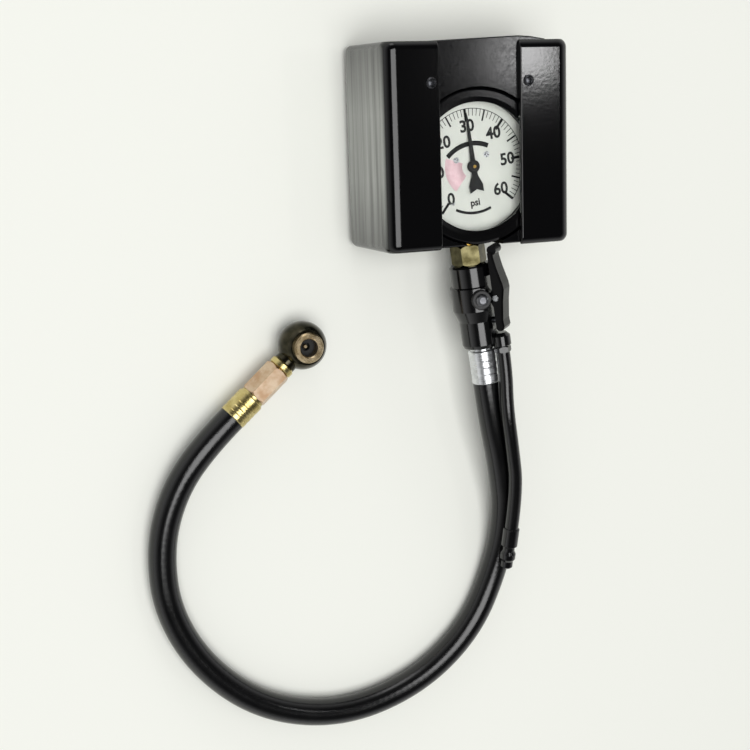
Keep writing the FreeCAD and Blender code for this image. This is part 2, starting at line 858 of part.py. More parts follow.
def make_back_plate():
    foot = block(
        -6.0, 6.0, socket_bottom + 0.5, socket_bottom + 4.1, movement_back, movement_back + plate_thickness
    )
    plate = fused(plate_outline(movement_back), foot)
    for side in (-1, 1):
        plate = plate.cut(cylinder(
            plate_screw_radius + bore_gap, movement_back - 1, movement_back + 2,
            side * plate_screw_x, plate_screw_y,
        ))
    return plate


def make_plate_screws():
    screws = []
    top = movement_back + plate_thickness
    for side in (-1, 1):
        x = side * plate_screw_x
        shank = cylinder(plate_screw_radius, movement_back - 3, top, x, plate_screw_y)
        head = cylinder(1.6, top, top + 0.9, x, plate_screw_y)
        slot = block(x - 2, x + 2, plate_screw_y - 0.2, plate_screw_y + 0.2, top + 0.5, top + 2)
        screws.append(fused(shank, head).cut(slot))
    return Part.makeCompound(screws)


def make_front_plate():
    plate = plate_outline(movement_front)
    for x, y in pillar_places:
        plate = plate.cut(cylinder(
            pillar_neck + bore_gap, movement_front - 1, movement_front + 2, x, y
        ))
    stud = cylinder(0.45, hairspring_z - 0.4, movement_front + 0.5, 0, hairspring_stud + 0.55)
    return fused(plate, stud)


def make_pillars():
    """Three spacers: the upper two run on through the front plate and carry the dial."""
    pillars = []
    for x, y in pillar_places:
        post = fused(
            cylinder(pillar_radius, movement_back + plate_thickness, movement_front, x, y),
            cylinder(pillar_neck, movement_front - 1, movement_front + plate_thickness, x, y),
        )
        if (x, y) in dial_screw_places:
            carrier = cylinder(pillar_radius, movement_front + plate_thickness, dial_z, x, y)
            post = fused(post, carrier)
            post = post.cut(cylinder(dial_screw_radius + press_gap, dial_z - 2.2, dial_z + 1, x, y))
        pillars.append(post)
    return Part.makeCompound(pillars)


def make_hairspring():
    """A flat spiral strip of half turns, on a collet that grips the arbor."""
    half_strip = hairspring_strip / 2
    sides = []
    for offset in (-half_strip, half_strip):
        edges = []
        radius = hairspring_start
        centre = 0.0
        for half_turn in range(2 * hairspring_turns):
            up = 1 if half_turn % 2 == 0 else -1
            r = radius + offset
            start = Vector(centre + up * r, 0, 0)
            middle = Vector(centre, up * r, 0)
            end = Vector(centre - up * r, 0, 0)
            edges.append(Part.Arc(start, middle, end).toShape())
            centre = centre + up * hairspring_pitch / 2
            radius = radius + hairspring_pitch / 2
        sides.append(edges)
    inner, outer = sides
    first_cap = Part.makeLine(inner[0].Vertexes[0].Point, outer[0].Vertexes[0].Point)
    last_cap = Part.makeLine(inner[-1].Vertexes[-1].Point, outer[-1].Vertexes[-1].Point)
    wire = Part.Wire(Part.__sortEdges__(inner + [last_cap] + outer + [first_cap]))
    strip = Part.Face(wire).extrude(Vector(0, 0, hairspring_height))
    collet = ring(arbor_radius + press_gap, hairspring_start + half_strip, 0, hairspring_height)
    spring = fused(strip, collet)
    spring.rotate(Vector(0, 0, 0), Z_AXIS, 90)
    spring.translate(Vector(0, 0, hairspring_z))
    return spring


# Valve body and what is bored into it
def across_pivot(radius, half_length):
    bar = cylinder(radius, -half_length, half_length)
    bar.rotate(Vector(0, 0, 0), X_AXIS, 90)
    bar.translate(Vector(pivot_out, 0, pivot_place))
    return bar


def make_valve_body():
    body = turned([
        (0, valve_start),
        (valve_top_radius - 0.8, valve_start),
        (valve_top_radius, valve_start + 0.8),
        (valve_top_radius, valve_mid_start),
        (valve_mid_radius, valve_mid_start + 0.5),
        (valve_mid_radius, valve_mid_end),
        (valve_low_radius, valve_low_start),
        (valve_low_radius, valve_end - 2.0),
        (valve_low_radius - 0.6, valve_end - 0.6),
        (valve_low_radius - 2.0, valve_end),
        (0, valve_end),
    ])
    flat = block(
        lever_flat, 2 * valve_mid_radius, -2 * valve_mid_radius, 2 * valve_mid_radius,
        lever_flat_start, lever_flat_end,
    )
    body = body.cut(flat)
    ear = fused(
        across_pivot(ear_radius, ear_half_width),
        block(
            air_bore, pivot_out, -ear_half_width, ear_half_width,
            pivot_place - ear_radius, pivot_place + ear_radius,
        ),
    )
    inlet = turned([
        (0, inlet_boss_start),
        (inlet_boss_radius - 1.6, inlet_boss_start),
        (inlet_boss_radius, inlet_boss_start + 1.6),
        (inlet_boss_radius, valve_end - 0.5),
        (inlet_boss_radius - 0.5, valve_end),
        (0, valve_end),
    ])
    inlet.translate(Vector(inlet_out, 0, 0))
    body = fused(body, ear, inlet)
    body = body.cut(across_pivot(pin_radius + bore_gap, 2 * lever_half_width))
    port = thread_radius + bore_gap
    body = body.cut(cylinder(port, valve_start - 1, valve_start + port_depth))
    body = body.cut(cylinder(port, valve_end - port_depth, valve_end + 1))
    body = body.cut(cylinder(air_bore, valve_start, valve_end))
    spool_hole = along_x(cylinder(spool_bore, -spool_depth, lever_flat + 1))
    spool_hole.translate(Vector(0, 0, spool_place))
    body = body.cut(spool_hole)
    retainer_seat = along_x(cylinder(retainer_radius + bore_gap, retainer_under, lever_flat + 1))
    retainer_seat.translate(Vector(0, 0, spool_place))
    body = body.cut(retainer_seat)
    supply_start = Vector(supply_out, 0, spool_place)
    supply_run = Vector(inlet_out - inlet_thread + 0.7, 0, inlet_thread_start + 0.7) - supply_start
    body = body.cut(Part.makeCylinder(supply_bore, supply_run.Length, supply_start, supply_run))
    body = body.cut(cylinder(inlet_thread + bore_gap, inlet_thread_start, valve_end + 1, inlet_out, 0))
    bleed = fused(
        cylinder(bleed_thread - 1.0, 0, bleed_seat_start),
        cylinder(bleed_thread + bore_gap, bleed_seat_start, bleed_face + 5),
        cylinder(bleed_collar + run_gap, bleed_face, bleed_face + 5),
    )
    bleed = along_x(bleed)
    bleed.translate(Vector(0, 0, bleed_place))
    bleed.rotate(Vector(0, 0, 0), Z_AXIS, bleed_turn)
    return body.cut(bleed)


# Lever with its pin
def make_lever():
    """Side outline, up from the inside face: a knob at the gauge end, a knee and a rounded tip."""
    cheek = pivot_out - ear_radius
    outline = [
        (lever_upper_inside, knob_place + 1.0),
        (lever_upper_inside, pivot_place - 4.2),
        (cheek, pivot_place - 1.6),
        (cheek, pivot_place + 1.6),
        (lever_inside, pivot_place + 4.2),
        (lever_inside, lever_tip - lever_tip_radius),
        (lever_inside + 0.4, lever_tip - 0.4),
        (lever_inside + lever_tip_radius, lever_tip),
        (pivot_out + 1.1, lever_tip),
        (pivot_out + 1.7, lever_tip - 0.3),
        (pivot_out + 2.4, lever_tip - 1.6),
        (pivot_out + 2.2, lever_tip - 5.0),
        (pivot_out + 3.3, pivot_place + 2.0),
        (pivot_out + 4.4, pivot_place - 3.5),
        (pivot_out + 4.2, pivot_place - 6.0),
        (pivot_out + 2.3, pivot_place - 13.5),
        (pivot_out + 1.4, knob_place + 3.5),
        (pivot_out + 1.4, knob_place + 1.0),
    ]
    bar = upright(outline, 2 * lever_half_width)
    long_edges = [
        e for e in bar.Edges
        if e.BoundBox.YLength < 0.01 and e.BoundBox.XMin > pivot_out + 1.2
        and abs(e.BoundBox.YMin) > lever_half_width - 0.01
    ]
    bar = bar.makeChamfer(0.7, long_edges)
    knob = cylinder(knob_radius, -lever_half_width + 1.0, lever_half_width - 1.0)
    knob.rotate(Vector(0, 0, 0), X_AXIS, 90)
    knob.translate(Vector(lever_upper_inside + 1.9, 0, knob_place))
    bar = fused(bar, knob)
    gap = ear_half_width + run_gap
    slot = ear_radius + run_gap
    straight = block(0, pivot_out, -gap, gap, pivot_place - slot, pivot_place + slot)
    bar = bar.cut(fused(straight, across_pivot(slot, gap)))
    return bar.cut(across_pivot(pin_radius + bore_gap, 2 * lever_half_width))


def make_lever_pin():
    end = lever_half_width + 0.4
    pin = turned([
        (0, -end),
        (pin_radius - 0.3, -end),
        (pin_radius, -end + 0.3),
        (pin_radius, end - 0.3),
        (pin_radius - 0.3, end),
        (0, end),
    ])
    pin.rotate(Vector(0, 0, 0), X_AXIS, 90)
    pin.translate(Vector(pivot_out, 0, pivot_place))
    return pin


# Air valve under the lever
spool_run = spool_bore - bore_gap
orings_at = [spool_land + land_length / 2, spool_outer_land + land_length / 2]


def make_spool():
    """One guide and two sealed lands with thin waists between them, then the pin the lever meets."""
    half_groove = oring_section + 0.08
    floor = spool_bore - 2 * oring_section - 0.1
    points = [(0, spool_end), (spool_run, spool_end), (spool_run, spool_end + spool_guide)]
    points += [(spool_waist, spool_end + spool_guide)]
    for middle in orings_at:
        near = middle - land_length / 2
        far = middle + land_length / 2
        points += [(spool_waist, near), (spool_run, near), (spool_run, middle - half_groove)]
        points += [(floor, middle - half_groove), (floor, middle + half_groove)]
        points += [(spool_run, middle + half_groove), (spool_run, far)]
        if middle != orings_at[-1]:
            points += [(spool_waist, far)]
    points += [(spool_pin, orings_at[-1] + land_length / 2)]
    points += [(spool_pin, lever_inside - run_gap - 0.6)]
    points += [(spool_pin - 0.5, lever_inside - run_gap), (0, lever_inside - run_gap)]
    spool = along_x(turned(points))
    spool.translate(Vector(0, 0, spool_place))
    return spool


def make_orings():
    rings = []
    for place in orings_at:
        middle = Vector(place, 0, spool_place)
        rings.append(Part.makeTorus(spool_run - oring_section, oring_section, middle, X_AXIS))
    return Part.makeCompound(rings)


def make_retainer():
    plate = ring(spool_pin + bore_gap, retainer_radius, retainer_under, lever_flat)
    plate = along_x(plate)
    plate.translate(Vector(0, 0, spool_place))
    return plate


def arc_towards(start, heading, end):
    """The arc that leaves start along heading and reaches end."""
    chord = end - start
    along = Vector(chord).normalize()
    side = heading - along * heading.dot(along)
    lean = math.atan2(side.Length, heading.dot(along))
    middle = start + chord * 0.5 + side.normalize() * (chord.Length / 2 * math.tan(lean / 2))
    return Part.Arc(start, middle, end).toShape()


def coil(radius, wire, start, end, turns):
    """A helical spring about Z, as pairs of tangent arcs over each quarter turn."""
    climb = (end - start - 2 * wire) / (2 * math.pi * turns)
    slope = Vector(0, radius, climb).Length

    def place(angle):
        return Vector(radius * math.cos(angle), radius * math.sin(angle), start + wire + climb * angle)

    def heading(angle):
        return Vector(-radius * math.sin(angle), radius * math.cos(angle), climb) * (1 / slope)

    edges = []
    for quarter in range(int(round(4 * turns))):
        first = math.pi / 2 * quarter
        last = first + math.pi / 2
        chord = place(last) - place(first)
        both = heading(first) + heading(last)
        spare = 4 - both.dot(both)
        reach = (math.sqrt(chord.dot(both) ** 2 + spare * chord.dot(chord)) - chord.dot(both)) / spare
        joint = (place(first) + heading(first) * reach + place(last) - heading(last) * reach) * 0.5
        leaving = (place(last) - heading(last) * reach - place(first) - heading(first) * reach).normalize()
        edges.append(arc_towards(place(first), heading(first), joint))
        edges.append(arc_towards(joint, leaving, place(last)))
    profile = Part.Wire(Part.makeCircle(wire, place(0), heading(0)))
    return Part.Wire(edges).makePipeShell([profile], True, False)


def make_spool_spring():
    spring = along_x(coil(spool_spring_radius, spool_spring_wire, -spool_depth, spool_end, 3))
    spring.translate(Vector(0, 0, spool_place))
    return spring


# Bleed button, built along X at the bleed's own angle about the stem
def at_bleed(shape):
    shape = along_x(shape)
    shape.translate(Vector(0, 0, bleed_place))
    return shape


def make_bleed_seat():
    return at_bleed(turned([
        (bleed_stem + 0.1, bleed_seat_start),
        (bleed_thread, bleed_seat_start),
        (bleed_thread, bleed_face),
        (bleed_collar, bleed_face),
        (bleed_collar, bleed_face + bleed_collar_height - 0.5),
        (bleed_collar - 0.5, bleed_face + bleed_collar_height),
        (bleed_button_radius + bore_gap, bleed_face + bleed_collar_height),
        (bleed_button_radius + bore_gap, bleed_spring_seat),
        (bleed_stem + 0.1, bleed_spring_seat),
    ]))


def make_bleed_button():
    return at_bleed(turned([
        (0, bleed_seat_start - 1.3),
        (bleed_head, bleed_seat_start - 1.3),
        (bleed_head, bleed_seat_start - 0.4),
        (bleed_stem, bleed_seat_start - 0.4),
        (bleed_stem, bleed_button_under),
        (bleed_button_radius, bleed_button_under),
        (bleed_button_radius, bleed_button_top - 1.0),
        (bleed_button_radius - 0.5, bleed_button_top - 0.4),
        (bleed_button_radius - 1.3, bleed_button_top),
        (0, bleed_button_top),
    ]))


def make_bleed_seal():
    seal = ring(bleed_stem + bore_gap, bleed_head, bleed_seat_start - 0.4, bleed_seat_start - press_gap)
    return at_bleed(seal)


def make_bleed_spring():
    return at_bleed(coil(bleed_spring_radius, bleed_spring_wire, bleed_spring_seat, bleed_button_under, 3))


# Air inlet fitting
def make_inlet_fitting():
    body = fused(
        cylinder(inlet_thread, inlet_thread_start + 0.5, valve_end + 0.5),
        hexagon(inlet_hex_across, valve_end + 0.1, inlet_hex_end),
        turned([
            (0, inlet_hex_end - 1),
            (whip_barb, inlet_hex_end - 1),
            (whip_barb, inlet_hex_end + whip_barb_length - 1),
            (whip_barb - 0.5, inlet_hex_end + whip_barb_length),
            (0, inlet_hex_end + whip_barb_length),
        ]),
    )
    body = body.cut(cylinder(inlet_bore, 0, inlet_hex_end + whip_barb_length + 1))
    body.translate(Vector(inlet_out, 0, 0))
    return body


# Crimped hose ends, built along Z with the hose going on towards +Z
def crimped_ferrule(start, end):
    inside = crimped_radius + bore_gap
    outside = ferrule_radius
    points = [(barb_radius + 0.3, start), (outside - 0.5, start), (outside, start + 0.6)]
    for share in (0.35, 0.55, 0.75):
        middle = start + share * (end - start)
        points += [(outside, middle - 0.9), (outside - crimp_groove, middle - 0.4)]
        points += [(outside - crimp_groove, middle + 0.4), (outside, middle + 0.9)]
    points += [(outside, end - 0.4), (outside - 0.3, end), (inside, end)]
    points += [(inside, start + 0.9), (barb_radius + 0.3, start + 0.9)]
    return turned(points)


def hose_insert(thread_start, face, barb_end, thread, shoulder):
    """Threaded end, a shoulder between the threaded part and the ferrule, and a barbed tail."""
    points = [(air_bore - 0.2, thread_start), (thread - 0.6, thread_start), (thread, thread_start + 0.6)]
    points += [(thread, face - shoulder), (crimped_radius, face - shoulder), (crimped_radius, face)]
    points += [(barb_radius - 0.3, face)]
    barbs = 4
    first = face + 1.4
    step = (barb_end - first) / barbs
    for barb in range(barbs):
        points += [(barb_radius, first + barb * step), (barb_radius - 0.4, first + (barb + 0.9) * step)]
    points += [(air_bore - 0.2, barb_end)]
    return turned(points)


# Hoses: straight runs joined by tangent arcs
def route_wire(points, report):
    share = 0.45
    edges = []
    radii = []
    here = points[0]
    for before, corner, after in zip(points, points[1:], points[2:]):
        back = before - corner
        ahead = after - corner
        shorter = min(back.Length, ahead.Length)
        half_turn = (math.pi - back.getAngle(ahead)) / 2
        reach = share * shorter
        radii.append(reach / math.tan(half_turn))
        start = corner + back.normalize() * reach
        end = corner + ahead.normalize() * reach
        inward = (back + ahead).normalize()
        centre = corner + inward * (reach / math.sin(half_turn))
        middle = centre - inward * radii[-1]
        edges.append(Part.LineSegment(here, start).toShape())
        edges.append(Part.Arc(start, middle, end).toShape())
        here = end
    edges.append(Part.LineSegment(here, points[-1]).toShape())
    wire = Part.Wire(edges)
    print(report, "length", round(wire.Length, 1), "radii", [round(r, 1) for r in radii])
    return wire


def swept_tube(points, outer, inner, report):
    wire = route_wire(points, report)
    heading = (points[1] - points[0]).normalize()
    rim = Part.Face(Part.Wire(Part.makeCircle(outer, points[0], heading)))
    hole = Part.Face(Part.Wire(Part.makeCircle(inner, points[0], heading)))
    tube = wire.makePipe(rim).cut(wire.makePipe(hole))
    expected = math.pi * (outer ** 2 - inner ** 2) * wire.Length
    print(report, "volume over section times length", round(tube.Volume / expected, 4))
    return tube


def on_stem(s, x=0.0):
    """A point down the stem from the dial's centre, and the stem's direction there."""
    return valve_place.multVec(Vector(x, 0, s))


def make_hose():
    down = (on_stem(1) - on_stem(0)).normalize()
    first = on_stem(ferrule_end)
    mouth = connector_place.multVec(Vector(0, 0, chuck_mouth))
    back = (mouth - chuck_place.Base).normalize()
    points = [first, first + down * hose_first_run]
    points += [Vector(x, y, gap + hose_radius) for x, y, gap in hose_middle]
    points += [mouth + back * hose_last_run, mouth]
    tube = swept_tube(points, hose_radius, hose_bore, "hose")
    near = ring(hose_bore, crimped_radius, ferrule_start + 1.2, ferrule_end + 0.05)
    near.Placement = valve_place
    far_start = chuck_mouth - chuck_ferrule_length + 1.2
    far = ring(hose_bore, crimped_radius, far_start, chuck_mouth + 0.05)
    far.Placement = connector_place
    return tube.fuse([near, far])


def whip_points():
    down = (on_stem(1) - on_stem(0)).normalize()
    first = on_stem(inlet_hex_end, inlet_out)
    points = [first, first + down * whip_first_run]
    return points + [Vector(x, y, over + hose_radius + whip_radius) for x, y, over in whip_middle]


def make_whip():
    return swept_tube(whip_points(), whip_radius, whip_bore, "whip")


def make_plug():
    points = whip_points()
    heading = (points[-1] - points[-2]).normalize()
    body = turned([
        (inlet_bore, -whip_barb_length),
        (whip_barb - 0.5, -whip_barb_length),
        (whip_barb, -whip_barb_length + 1),
        (whip_barb, 0),
        (plug_radius - 0.4, 0),
        (plug_radius, 0.4),
        (plug_radius, plug_grip_length),
        (plug_neck, plug_grip_length + 1),
        (plug_neck, plug_grip_length + 3),
        (plug_radius - 0.2, plug_grip_length + 4.5),
        (plug_radius - 0.2, plug_length - 5),
        (plug_radius - 1.0, plug_length - 3.6),
        (plug_radius - 1.0, plug_length - 0.6),
        (plug_radius - 1.5, plug_length),
        (1.4, plug_length),
        (1.4, 3),
        (inlet_bore, 2),
    ])
    place = Placement(points[-1], Rotation(Z_AXIS, heading))
    return body, place


# Chuck: connector pieces built along Z away from the ball, the head about its own upright axis
def make_connector():
    end = chuck_mouth - chuck_ferrule_length - 1.0
    body = hexagon(connector_across, connector_start, end)
    bore = neck_thread + bore_gap
    body = body.cut(cylinder(bore, connector_start - 1, connector_start + 6.6))
    body = body.cut(cylinder(bore, end - 7.0, end + 1))
    return body.cut(cylinder(air_bore, 0, end))


def make_chuck_insert():
    face = chuck_mouth - chuck_ferrule_length
    return hose_insert(face - 7.6, face, chuck_mouth - 1.0, neck_thread, 0.9)


def make_collar():
    inside = neck_thread + bore_gap
    end = connector_start - 0.1
    return turned([
        (inside, collar_start),
        (collar_radius - 0.7, collar_start),
        (collar_radius, collar_start + 0.8),
        (collar_radius, end - 0.8),
        (collar_radius - 0.7, end),
        (inside, end),
    ])


def make_chuck_body():
    ball = Part.makeSphere(ball_radius)
    ball = ball.cut(block(-20, 20, -20, 20, mouth_seat, 20))
    stem = cylinder(neck_thread, 0, connector_start + 6.2)
    shoulder = cylinder(collar_radius - 0.6, 0, collar_start - 0.1)
    stem = fused(stem, shoulder)
    stem.rotate(Vector(0, 0, 0), Y_AXIS, -90)
    body = fused(ball, stem)
    passage = cylinder(air_bore - 0.2, 0, connector_start + 10)
    passage.rotate(Vector(0, 0, 0), Y_AXIS, -90)
    body = body.cut(passage)
    chamber_top = seal_z - 0.8
    body = body.cut(cylinder(poppet_radius + 0.4, poppet_floor, chamber_top))
    body = body.cut(cylinder(poppet_pin + 0.7, -1, seal_z + 1))
    return body.cut(cylinder(seal_radius + bore_gap, seal_z, ball_radius + 1))


def make_chuck_seal():
    return ring(poppet_pin + 0.8, seal_radius, seal_z, seal_z + seal_thickness)


def make_mouth_ring():
    low = seal_z + seal_thickness
    return turned([
        (mouth_radius, low),
        (seal_radius, low),
        (seal_radius, mouth_seat),
        (mouth_rim_radius, mouth_seat),
        (mouth_rim_radius, mouth_top - 0.7),
        (mouth_rim_radius - 0.7, mouth_top),
        (mouth_radius + 0.5, mouth_top),
        (mouth_radius, mouth_top - 0.5),
    ])


def make_poppet():
    return turned([
        (0, poppet_head_top - poppet_head),
        (poppet_radius, poppet_head_top - poppet_head),
        (poppet_radius, poppet_head_top),
        (poppet_pin, poppet_head_top),
        (poppet_pin, seal_z + seal_thickness - 0.6),
        (poppet_pin - 0.4, seal_z + seal_thickness - 0.2),
        (0, seal_z + seal_thickness - 0.2),
    ])


def make_poppet_seal():
    return ring(poppet_pin + 0.05, poppet_radius - 0.2, poppet_head_top, seal_z - 0.82)


def make_poppet_spring():
    return coil(poppet_spring_radius, poppet_spring_wire, poppet_floor, poppet_head_top - poppet_head, 4.5)


# Build and save every piece
save("guard_shell", make_guard())
save("guard_screws", Part.makeCompound([
    make_guard_screw(-guard_screw_x, guard_screw_y),
    make_guard_screw(guard_screw_x, guard_screw_y),
]))
save("gauge_cradle", make_cradle())
gauge_pieces = {
    "gauge_case": make_case(),
    "gauge_bezel": make_bezel(),
    "lens": make_lens(),
    "lens_gasket": make_gasket(),
    "gauge_socket": make_socket(),
    "socket_screws": make_socket_screws(),
    "dial_plate": make_dial(),
    "dial_screws": make_dial_screws(),
    "zero_stop_pin": make_stop_pin(),
    "pointer": make_pointer(),
    "pointer_arbor": make_arbor(),
    "sector_gear": make_sector(),
    "sector_shaft": make_sector_shaft(),
    "tip_link": make_link(),
    "bourdon_tube": make_tube(),
    "bourdon_tip": make_tip(),
    "movement_back_plate": make_back_plate(),
    "movement_front_plate": make_front_plate(),
    "movement_pillars": make_pillars(),
    "movement_screws": make_plate_screws(),
    "hairspring": make_hairspring(),
}
for piece_name, piece in gauge_pieces.items():
    save(piece_name, piece, gauge_place)
valve_pieces = {
    "stem_hex_nipple": make_nipple(),
    "valve_body": make_valve_body(),
    "valve_lever": make_lever(),
    "lever_pin": make_lever_pin(),
    "valve_spool": make_spool(),
    "spool_orings": make_orings(),
    "spool_retainer": make_retainer(),
    "spool_spring": make_spool_spring(),
    "inlet_fitting": make_inlet_fitting(),
    "hose_ferrule": crimped_ferrule(ferrule_start, ferrule_end),
    "hose_insert": hose_insert(
        valve_end - port_depth + 0.6, ferrule_start, ferrule_end - 1.0,
        thread_radius, ferrule_start - valve_end - 0.1,
    ),
}
for piece_name, piece in valve_pieces.items():
    save(piece_name, piece, valve_place)
bleed_pieces = {
    "bleed_seat": make_bleed_seat(),
    "bleed_button": make_bleed_button(),
    "bleed_seal": make_bleed_seal(),
    "bleed_spring": make_bleed_spring(),
}
for piece_name, piece in bleed_pieces.items():
    save(piece_name, piece, bleed_frame)
save("main_hose", make_hose())
save("inlet_whip", make_whip())
plug, plug_place = make_plug()
save("inlet_plug", plug, plug_place)
connector_pieces = {
    "chuck_ferrule": crimped_ferrule(chuck_mouth - chuck_ferrule_length, chuck_mouth),
    "chuck_insert": make_chuck_insert(),
    "chuck_connector": make_connector(),
    "chuck_collar": make_collar(),
}
for piece_name, piece in connector_pieces.items():
    save(piece_name, piece, connector_place)
head_pieces = {
    "chuck_body": make_chuck_body(),
    "chuck_seal": make_chuck_seal(),
    "chuck_mouth_ring": make_mouth_ring(),
    "chuck_poppet": make_poppet(),
    "poppet_seal": make_poppet_seal(),
    "poppet_spring": make_poppet_spring(),
}
for piece_name, piece in head_pieces.items():
    save(piece_name, piece, chuck_place)
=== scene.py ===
"""Looks of a tyre inflator: a round gauge in a steel guard, a lever valve, a hose and a ball chuck."""

import math

import bmesh
import bpy
from bpy.props import FloatProperty, FloatVectorProperty, IntProperty, PointerProperty
from bpy.types import Operator, Panel, PropertyGroup
from mathutils import Matrix, Vector


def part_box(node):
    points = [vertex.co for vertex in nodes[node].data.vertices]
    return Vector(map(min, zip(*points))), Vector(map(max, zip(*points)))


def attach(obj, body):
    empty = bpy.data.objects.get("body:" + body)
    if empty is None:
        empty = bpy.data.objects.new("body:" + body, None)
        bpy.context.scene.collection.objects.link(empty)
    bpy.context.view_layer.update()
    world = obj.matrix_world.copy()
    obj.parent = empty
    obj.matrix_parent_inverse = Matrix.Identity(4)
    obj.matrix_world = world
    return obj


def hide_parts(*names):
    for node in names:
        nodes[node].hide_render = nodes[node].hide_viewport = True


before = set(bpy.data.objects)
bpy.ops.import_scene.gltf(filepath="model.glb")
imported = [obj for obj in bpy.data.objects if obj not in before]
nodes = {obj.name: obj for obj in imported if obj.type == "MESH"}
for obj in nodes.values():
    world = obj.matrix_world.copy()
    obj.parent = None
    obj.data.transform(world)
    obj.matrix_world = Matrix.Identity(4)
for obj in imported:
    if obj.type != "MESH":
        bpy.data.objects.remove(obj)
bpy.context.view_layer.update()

bl_info = {
    "name": "Tyre inflator",
    "version": (1, 0, 0),
    "blender": (4, 5, 0),
    "location": "View3D > Sidebar > Inflator",
    "description": "Makes the hoses, the printed dial and the finishes of a tyre inflator with a gauge",
    "category": "Object",
}

MM = 0.001
WHITE = (1, 1, 1, 1)

# Frames of the gauge, the valve and the chuck, as the CAD has them: each turned piece's axis is its Z
DIAL_CENTRE = Vector((0, -0.0094, 0))
GAUGE_LEAN = math.radians(7.8)
STEM_HEIGHT = 0.022
VALVE_TURN = math.radians(48)
BALL_CENTRE = Vector((-0.0731, -0.0864, 0.011))
CHUCK_HEADING = math.radians(40.5)

gauge_frame = Matrix.Translation(DIAL_CENTRE) @ Matrix.Rotation(GAUGE_LEAN, 4, "Z")
valve_frame = (
    gauge_frame
    @ Matrix.Translation((0, 0, STEM_HEIGHT))
    @ Matrix((
        (math.cos(VALVE_TURN), -math.sin(VALVE_TURN), 0, 0),
        (0, 0, -1, 0),
        (math.sin(VALVE_TURN), math.cos(VALVE_TURN), 0, 0),
        (0, 0, 0, 1),
    ))
)
chuck_frame = Matrix.Translation(BALL_CENTRE) @ Matrix.Rotation(CHUCK_HEADING, 4, "Z")
connector_frame = chuck_frame @ Matrix.Rotation(-math.pi / 2, 4, "Y")

# Routes, in metres: the main hose from the valve's ferrule to the chuck's, and the whip to its plug
HOSE_ROUTE = (
    (0.013843, -0.110456, 0.022),
    (0.016354, -0.128785, 0.022),
    (0.0232, -0.1535, 0.0176),
    (0.0288, -0.1805, 0.0110),
    (0.0254, -0.2078, 0.0065),
    (0.0104, -0.2382, 0.0065),
    (-0.0190, -0.2604, 0.0065),
    (-0.0580, -0.2688, 0.0065),
    (-0.0965, -0.2582, 0.0065),
    (-0.1252, -0.2332, 0.0065),
    (-0.1410, -0.2028, 0.0065),
    (-0.1428, -0.1726, 0.0069),
    (-0.1361, -0.1483, 0.0087),
    (-0.122830, -0.128874, 0.0110),
    (-0.107622, -0.115885, 0.0110),
)
WHIP_ROUTE = (
    (0.018771, -0.095651, 0.029654),
    (0.020128, -0.105558, 0.029654),
    (0.0191, -0.1216, 0.0322),
    (0.0228, -0.1420, 0.0302),
    (0.0272, -0.1635, 0.0260),
    (0.0262, -0.1840, 0.0220),
)

# Nodes at the far end of each hose
CHUCK_NODES = (
    "chuck_ferrule", "chuck_insert", "chuck_connector", "chuck_collar", "chuck_body",
    "chuck_seal", "chuck_mouth_ring", "chuck_poppet", "poppet_seal", "poppet_spring",
)
PLUG_NODES = ("inlet_plug",)

# The dial's marks: pressure from one to the next, and their length and width in millimetres
MARKS = ((1, 3.2, 0.3), (5, 5.0, 0.8), (10, 5.6, 1.2))
NUMBER_STEP = 10
SCALE_LINE_WIDTH = 0.3 * MM
# Its two short black bands: radius, first angle and sweep in degrees, width, and how far each is
# moved up the dial
BANDS = (
    (18.0 * MM, 60, 69, 2.1 * MM, -8 * MM),
    (20.5 * MM, 238, 50, 1.2 * MM, 0),
)
# Its red zone: radius, first angle and sweep in degrees, and width
RED_ZONE = (9.2 * MM, 155, 70, 8.4 * MM)
UNIT_HEIGHT = 4.4 * MM
UNIT_PLACE = (-1 * MM, -16 * MM)

# The camera that was fitted to the photograph: place, and the directions of its right and its back
CAMERA_PLACE = (-0.28470, 0.02088, 0.59656)
CAMERA_RIGHT = (0.91873, -0.03133, 0.39365)
CAMERA_BACK = (-0.38092, 0.19256, 0.90434)
LENS_MM = 67.38
SENSOR_MM = 36

# The stage, in metres: the two points that the lamps aim at, and the floor's half width and height
MIDDLE = Vector((-0.05, -0.11, 0.02))
GAUGE_FRONT = Vector((0.03, 0.03, 0.05))
FLOOR_REACH = 4.0
FLOOR_LEVEL = -0.0001


# Kinds of setting
def length_setting(name, description, default, precision=4):
    return FloatProperty(
        name=name, description=description, default=default, unit="LENGTH", precision=precision
    )


def angle_setting(name, description, degrees):
    return FloatProperty(
        name=name, description=description, default=math.radians(degrees), unit="ROTATION"
    )


def power_setting(name, description, watts):
    return FloatProperty(name=name, description=description, default=watts, unit="POWER")


# Sizes and colours that a user would change
class HoseSettings(PropertyGroup):
    diameter: length_setting("Main hose", "Outside diameter of the main hose", 0.0127)
    length: length_setting("Main hose length", "Free length of the main hose", 0.412, precision=3)
    whip_diameter: length_setting("Air whip", "Outside diameter of the air whip", 0.0065)
    whip_length: length_setting("Air whip length", "Free length of the air whip", 0.089, precision=3)
    wrap_pitch: length_setting(
        "Wrap pitch", "Distance between the faint marks that the curing tape leaves on the rubber", 0.0032
    )
    sides: IntProperty(name="Sides", description="Faces round each hose", default=56, min=12, max=96)


